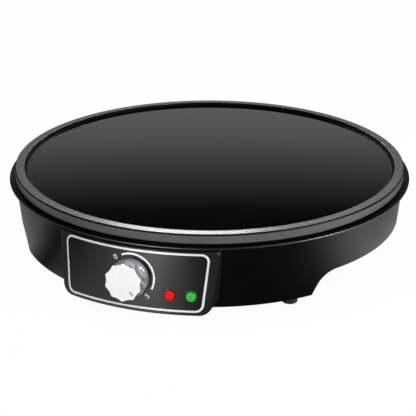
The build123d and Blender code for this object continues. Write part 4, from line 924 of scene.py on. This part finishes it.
# %% Make the feet
foot_rubber = coat(
    "moulded_nitrile_rubber", "161616", "202020", grain=0.6, rough=(0.45, 0.6), bump=0.003,
    sockets={"IOR": 1.52}, patch=6.0,
)
FOOT, STEM, HEAD = 5.7, 3.0, 4.4  # radii of the foot, its stem and the stem's head
COVER_UNDER, COVER_TOP, HEAD_TOP, FOOT_PLACE = 7.45, 9.6, 10.9, 96.52
foot_profile = rounded_path(
    [
        (0, 0, 0),
        (FOOT, 0, 0.9),
        (FOOT, COVER_UNDER, 0.2),
        (STEM, COVER_UNDER, 0),
        (STEM, COVER_TOP, 0),
        (HEAD, COVER_TOP, 0),
        (HEAD, HEAD_TOP, 0.4),
        (0, HEAD_TOP, 0),
    ],
    closed=False,
)
foot_grid = turned(foot_profile, 48)
foot_shells = [(foot_grid + (x, y, 0), True, False) for x, y in FOOT_PLACE * FOUR_CORNERS]
grid_piece("rubber_feet", foot_shells, "base", [foot_rubber], ["feet"])

# %% [markdown]
# ## Pieces that keep their CAD mesh
# Everything inside and underneath stays as the CAD made it. Each piece gets the finish of what it is
# made of: zinc-plated steel, heat-darkened steel, brass, copper, steatite, phenolic and silicone.

# %% Finishes for the inner pieces
steel = coat("zinc_plated_steel", "a8abae", "c4c6c8", 0.6, (0.28, 0.42), 0.001, {"Metallic": 1.0}, 9.0)
sheath = coat("heat_darkened_steel", "4a4440", "6a625c", 0.5, (0.40, 0.55), 0.002, {"Metallic": 1.0}, 7.0)
brass = coat("stamped_brass", "c8a95e", "d8bc74", 0.4, (0.22, 0.34), 0.001, {"Metallic": 1.0}, 4.0)
copper = coat("drawn_copper", "c47a56", "d68c66", 0.5, (0.26, 0.36), 0.001, {"Metallic": 1.0}, 6.0)
steatite = coat("steatite_ceramic", "d2ccbe", "e0dbd0", 0.5, (0.55, 0.7), 0.004, {"IOR": 1.55}, 6.0)
phenolic = coat("phenolic_moulding", "8a8272", "a09786", 0.6, (0.45, 0.6), 0.002, {"IOR": 1.6}, 8.0)
nylon = coat("white_nylon", "d6d6d0", "e2e2dc", 0.5, (0.40, 0.55), 0.001, {"IOR": 1.53}, 5.0)
clear = {"IOR": 1.5, "Transmission Weight": 0.7}
bulb_glass = coat("neon_bulb_glass", "f2d8c4", "fae6d6", 0.8, (0.04, 0.08), 0.0004, clear, 6.0)
brown = coat("brown_silicone", "402612", "4c2f18", 0.5, (0.5, 0.62), 0.001, {"IOR": 1.41}, 5.0)
blue = coat("blue_silicone", "1c3f86", "264c98", 0.5, (0.5, 0.62), 0.001, {"IOR": 1.41}, 5.0)
green = coat("green_yellow_silicone", "2f7a2e", "8a9a28", 0.5, (0.5, 0.62), 0.001, {"IOR": 1.41}, 3.0)
white = coat("white_silicone", "d8d8d2", "e4e4de", 0.5, (0.5, 0.62), 0.001, {"IOR": 1.41}, 5.0)
inner = (steel, sheath, brass, copper, steatite, phenolic, nylon, bulb_glass, brown, blue, green, white)
print("inner finishes:", len(inner))

# %% Give each node its finish
finish_nodes = [
    (steel, ["heater_terminals", "element_clips", "clip_screws", "heat_shield", "plate_bolts", "bulb_clip"]),
    (steel, ["thermostat_shaft", "thermostat_bracket", "thermostat_screws", "knob_clip", "lamp_push_nuts"]),
    (steel, ["panel_screws", "base_screws", "thermal_fuse", "fuse_clamp"]),
    (sheath, ["heating_element"]),
    (brass, ["thermostat_bush", "thermostat_terminals", "terminal_screws", "earth_tag"]),
    (copper, ["capillary_tube", "sensor_bulb"]),
    (steatite, ["spacers", "terminal_block"]),
    (phenolic, ["thermostat_body"]),
    (nylon, ["spade_sleeves"]),
    (bulb_glass, ["power_lamp", "ready_lamp"]),
    (housing_plastic, ["base_cover", "cord_gland", "gland_nut"]),
    (brown, ["live_wire", "switched_wire"]),
    (blue, ["neutral_wire", "return_wire"]),
    (green, ["earth_wire"]),
    (white, ["power_lamp_wire", "ready_lamp_wire"]),
]
dressed = {node: finish for finish, nodes in finish_nodes for node in nodes}
for node, finish in dressed.items():
    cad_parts[node].data.materials.clear()
    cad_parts[node].data.materials.append(finish)
plain = [name for name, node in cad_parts.items() if name not in dressed and not node.hide_render]
print("nodes with a finish:", len(dressed), "left without:", plain)

# %% [markdown]
# ## Floor and studio
# The floor is a large pale sheet. The Light Path node draws it nearly white for the camera, while lamps
# still throw a soft shadow on it. Black gloss shows only what surrounds it, so the studio gives this
# object its look. In reflections the sheet's brightness changes round the object, as if dark flags
# stood on it here and there, which makes the soft gradients on the skirt and the panel. A pale band
# above the horizon fades to a dark ceiling, and the soft boxes' shapes run along the rims.

# %% The floor
material, tree, place = new_material("pale_paper_floor")
FLOOR_REACH, SHEET_WHITE = 30, 0.96  # half the sheet's width in metres, and its level for the camera
speckle = add_node(tree, "ShaderNodeTexNoise", None, {"Vector": place, "Scale": per_mm(40.0), "Detail": 2.0})
paper_tone = add_node(tree, "ShaderNodeValToRGB", None, {"Fac": speckle.outputs["Fac"]})
set_ramp(paper_tone, [(0.0, colour("303030")), (1.0, colour("343434"))])
path = add_node(tree, "ShaderNodeLightPath").outputs
plan = add_node(tree, "ShaderNodeSeparateXYZ", None, {"Vector": place}).outputs
ahead = add_node(tree, "ShaderNodeMath", {"operation": "MULTIPLY"}, {0: plan["Y"], 1: -1.0})
round_angle = add_node(tree, "ShaderNodeMath", {"operation": "ARCTAN2"}, {0: plan["X"], 1: ahead.outputs[0]})
full_turn = {"Value": round_angle.outputs[0], "From Min": -np.pi, "From Max": np.pi}
where = add_node(tree, "ShaderNodeMapRange", None, full_turn)
flags = add_node(tree, "ShaderNodeValToRGB", None, {"Fac": where.outputs["Result"]})
flag_stops = [
    (-180, 0.20), (-150, 0.20), (-125, 0.18), (-105, 0.18), (-92, 0.20), (-78, 0.26), (-66, 0.32),
    (-58, 0.34), (-51, 0.14), (-44, 0.02), (-34, 0.26), (-26, 0.58), (-16, 0.84), (0, 0.84), (8, 0.54),
    (14, 0.22), (20, 0.02), (28, 0.0), (48, 0.0), (55, 0.05), (61, 0.18), (67, 0.45), (74, 0.80),
    (84, 0.95), (98, 0.60), (115, 0.30), (180, 0.20),
]
set_ramp(flags, [((angle + 180) / 360, grey(level)) for angle, level in flag_stops])
rays = {0: path["Is Glossy Ray"], 1: path["Is Transmission Ray"]}
mirrored = add_node(tree, "ShaderNodeMath", {"operation": "MAXIMUM"}, rays)
flagged = {0: mirrored.outputs[0], 1: flags.outputs["Color"]}
in_mirror = add_node(tree, "ShaderNodeMath", {"operation": "MULTIPLY"}, flagged)
summed = {0: path["Is Camera Ray"], 1: SHEET_WHITE, 2: in_mirror.outputs[0]}
seen = add_node(tree, "ShaderNodeMath", {"operation": "MULTIPLY_ADD"}, summed)
glow = add_node(tree, "ShaderNodeEmission", None, {"Color": colour("ffffff"), "Strength": seen.outputs[0]})
paper = add_node(tree, "ShaderNodeBsdfDiffuse", None, {"Color": paper_tone.outputs["Color"]})
both = add_node(tree, "ShaderNodeAddShader", None, {0: glow.outputs[0], 1: paper.outputs[0]})
add_node(tree, "ShaderNodeOutputMaterial", None, {"Surface": both.outputs[0]})
floor_mesh = bpy.data.meshes.new("floor")
floor_mesh.from_pydata([(x, y, 0) for x, y in (FLOOR_REACH * FOUR_CORNERS).tolist()], [], [(0, 1, 2, 3)])
floor_mesh.materials.append(material)
floor = bpy.data.objects.new("floor", floor_mesh)
bpy.context.scene.collection.objects.link(floor)
print("floor:", floor.name)

# %% The studio's walls and ceiling
world = bpy.data.worlds.new("graded_studio")
world.use_nodes = True
bpy.context.scene.world = world
sky = world.node_tree
sky.nodes.clear()
direction = add_node(sky, "ShaderNodeTexCoord").outputs["Generated"]
rise = add_node(sky, "ShaderNodeSeparateXYZ", None, {"Vector": direction})
grade = add_node(sky, "ShaderNodeValToRGB", None, {"Fac": rise.outputs["Z"]})
band_stops = [
    (0.0, 0.10), (0.22, 0.12), (0.27, 0.34), (0.30, 0.52), (0.325, 0.44), (0.343, 0.27), (0.361, 0.12),
    (0.378, 0.022), (0.395, 0.002), (1.0, 0.002),
]
set_ramp(grade, [(height, grey(level)) for height, level in band_stops])
walls = add_node(sky, "ShaderNodeBackground", None, {"Color": grade.outputs["Color"], "Strength": 1.0})
sight = add_node(sky, "ShaderNodeLightPath").outputs
rays = {0: sight["Is Camera Ray"], 1: sight["Is Transmission Ray"]}
direct = add_node(sky, "ShaderNodeMath", {"operation": "MAXIMUM"}, rays)
white_wall = add_node(sky, "ShaderNodeBackground", None, {"Color": colour("ffffff"), "Strength": 1.0})
either = {0: direct.outputs[0], 1: walls.outputs[0], 2: white_wall.outputs[0]}
shown_wall = add_node(sky, "ShaderNodeMixShader", None, either)
add_node(sky, "ShaderNodeOutputWorld", None, {"Surface": shown_wall.outputs[0]})
print("world stops:", len(band_stops))

# %% Soft boxes
AIM_HEIGHT = 0.04


def soft_box(name, azimuth, elevation, distance, size, power, mirrored=True):
    """An area lamp aimed at the object from an azimuth and an elevation in degrees.

    Its distance and its size are in metres. One that isn't mirrored lights matt surfaces only.
    """
    lamp = bpy.data.lights.new(name, "AREA")
    lamp.shape, lamp.size, lamp.size_y, lamp.energy = "RECTANGLE", size[0], size[1], power
    holder = bpy.data.objects.new(name, lamp)
    turn, rise = np.radians(azimuth), np.radians(elevation)
    away = Vector((np.cos(turn) * np.cos(rise), np.sin(turn) * np.cos(rise), np.sin(rise)))
    holder.location = Vector((0, 0, AIM_HEIGHT)) + away * distance
    holder.rotation_euler = away.to_track_quat("Z", "Y").to_euler()
    holder.visible_glossy = mirrored
    bpy.context.scene.collection.objects.link(holder)
    return holder


boxes = [
    soft_box("overhead_box", -90, 82, 2.2, (2.4, 2.4), 60.0, mirrored=False),
    soft_box("key_box", -99, 3, 1.7, (0.3, 0.16), 13.0),
    soft_box("rim_box", 112, 29, 1.6, (0.30, 0.05), 1.3),
    soft_box("rim_fill", 114, 31, 1.6, (2.4, 0.2), 2.2),
    soft_box("right_box", -8, 10, 1.7, (0.5, 0.5), 24.0),
    soft_box("knob_box", -26, 36, 1.7, (0.9, 0.6), 5.0),
]
print("soft boxes:", [box.name for box in boxes])

# %% [markdown]
# ## Camera
# A long lens from a little over a metre away keeps the ellipse of the plate nearly true, and the camera
# stands to the right of the panel and looks down at about 22 degrees.

# %% Place the camera
CAMERA_PLACE, LOOKING = (0.3295, -0.9089, 0.4175), (-0.3165, 0.8697, -0.3786)
camera = bpy.data.objects.new("camera", bpy.data.cameras.new("camera"))
camera.data.sensor_width, camera.data.lens = 36.0, 112.5
camera.data.clip_start, camera.data.clip_end = 0.05, 80.0
camera.location = CAMERA_PLACE
camera.rotation_euler = Vector(LOOKING).to_track_quat("-Z", "Y").to_euler()
bpy.context.scene.collection.objects.link(camera)
bpy.context.scene.camera = camera
bpy.context.scene.view_settings.view_transform = "Standard"
print("camera at", [round(value, 3) for value in camera.location])
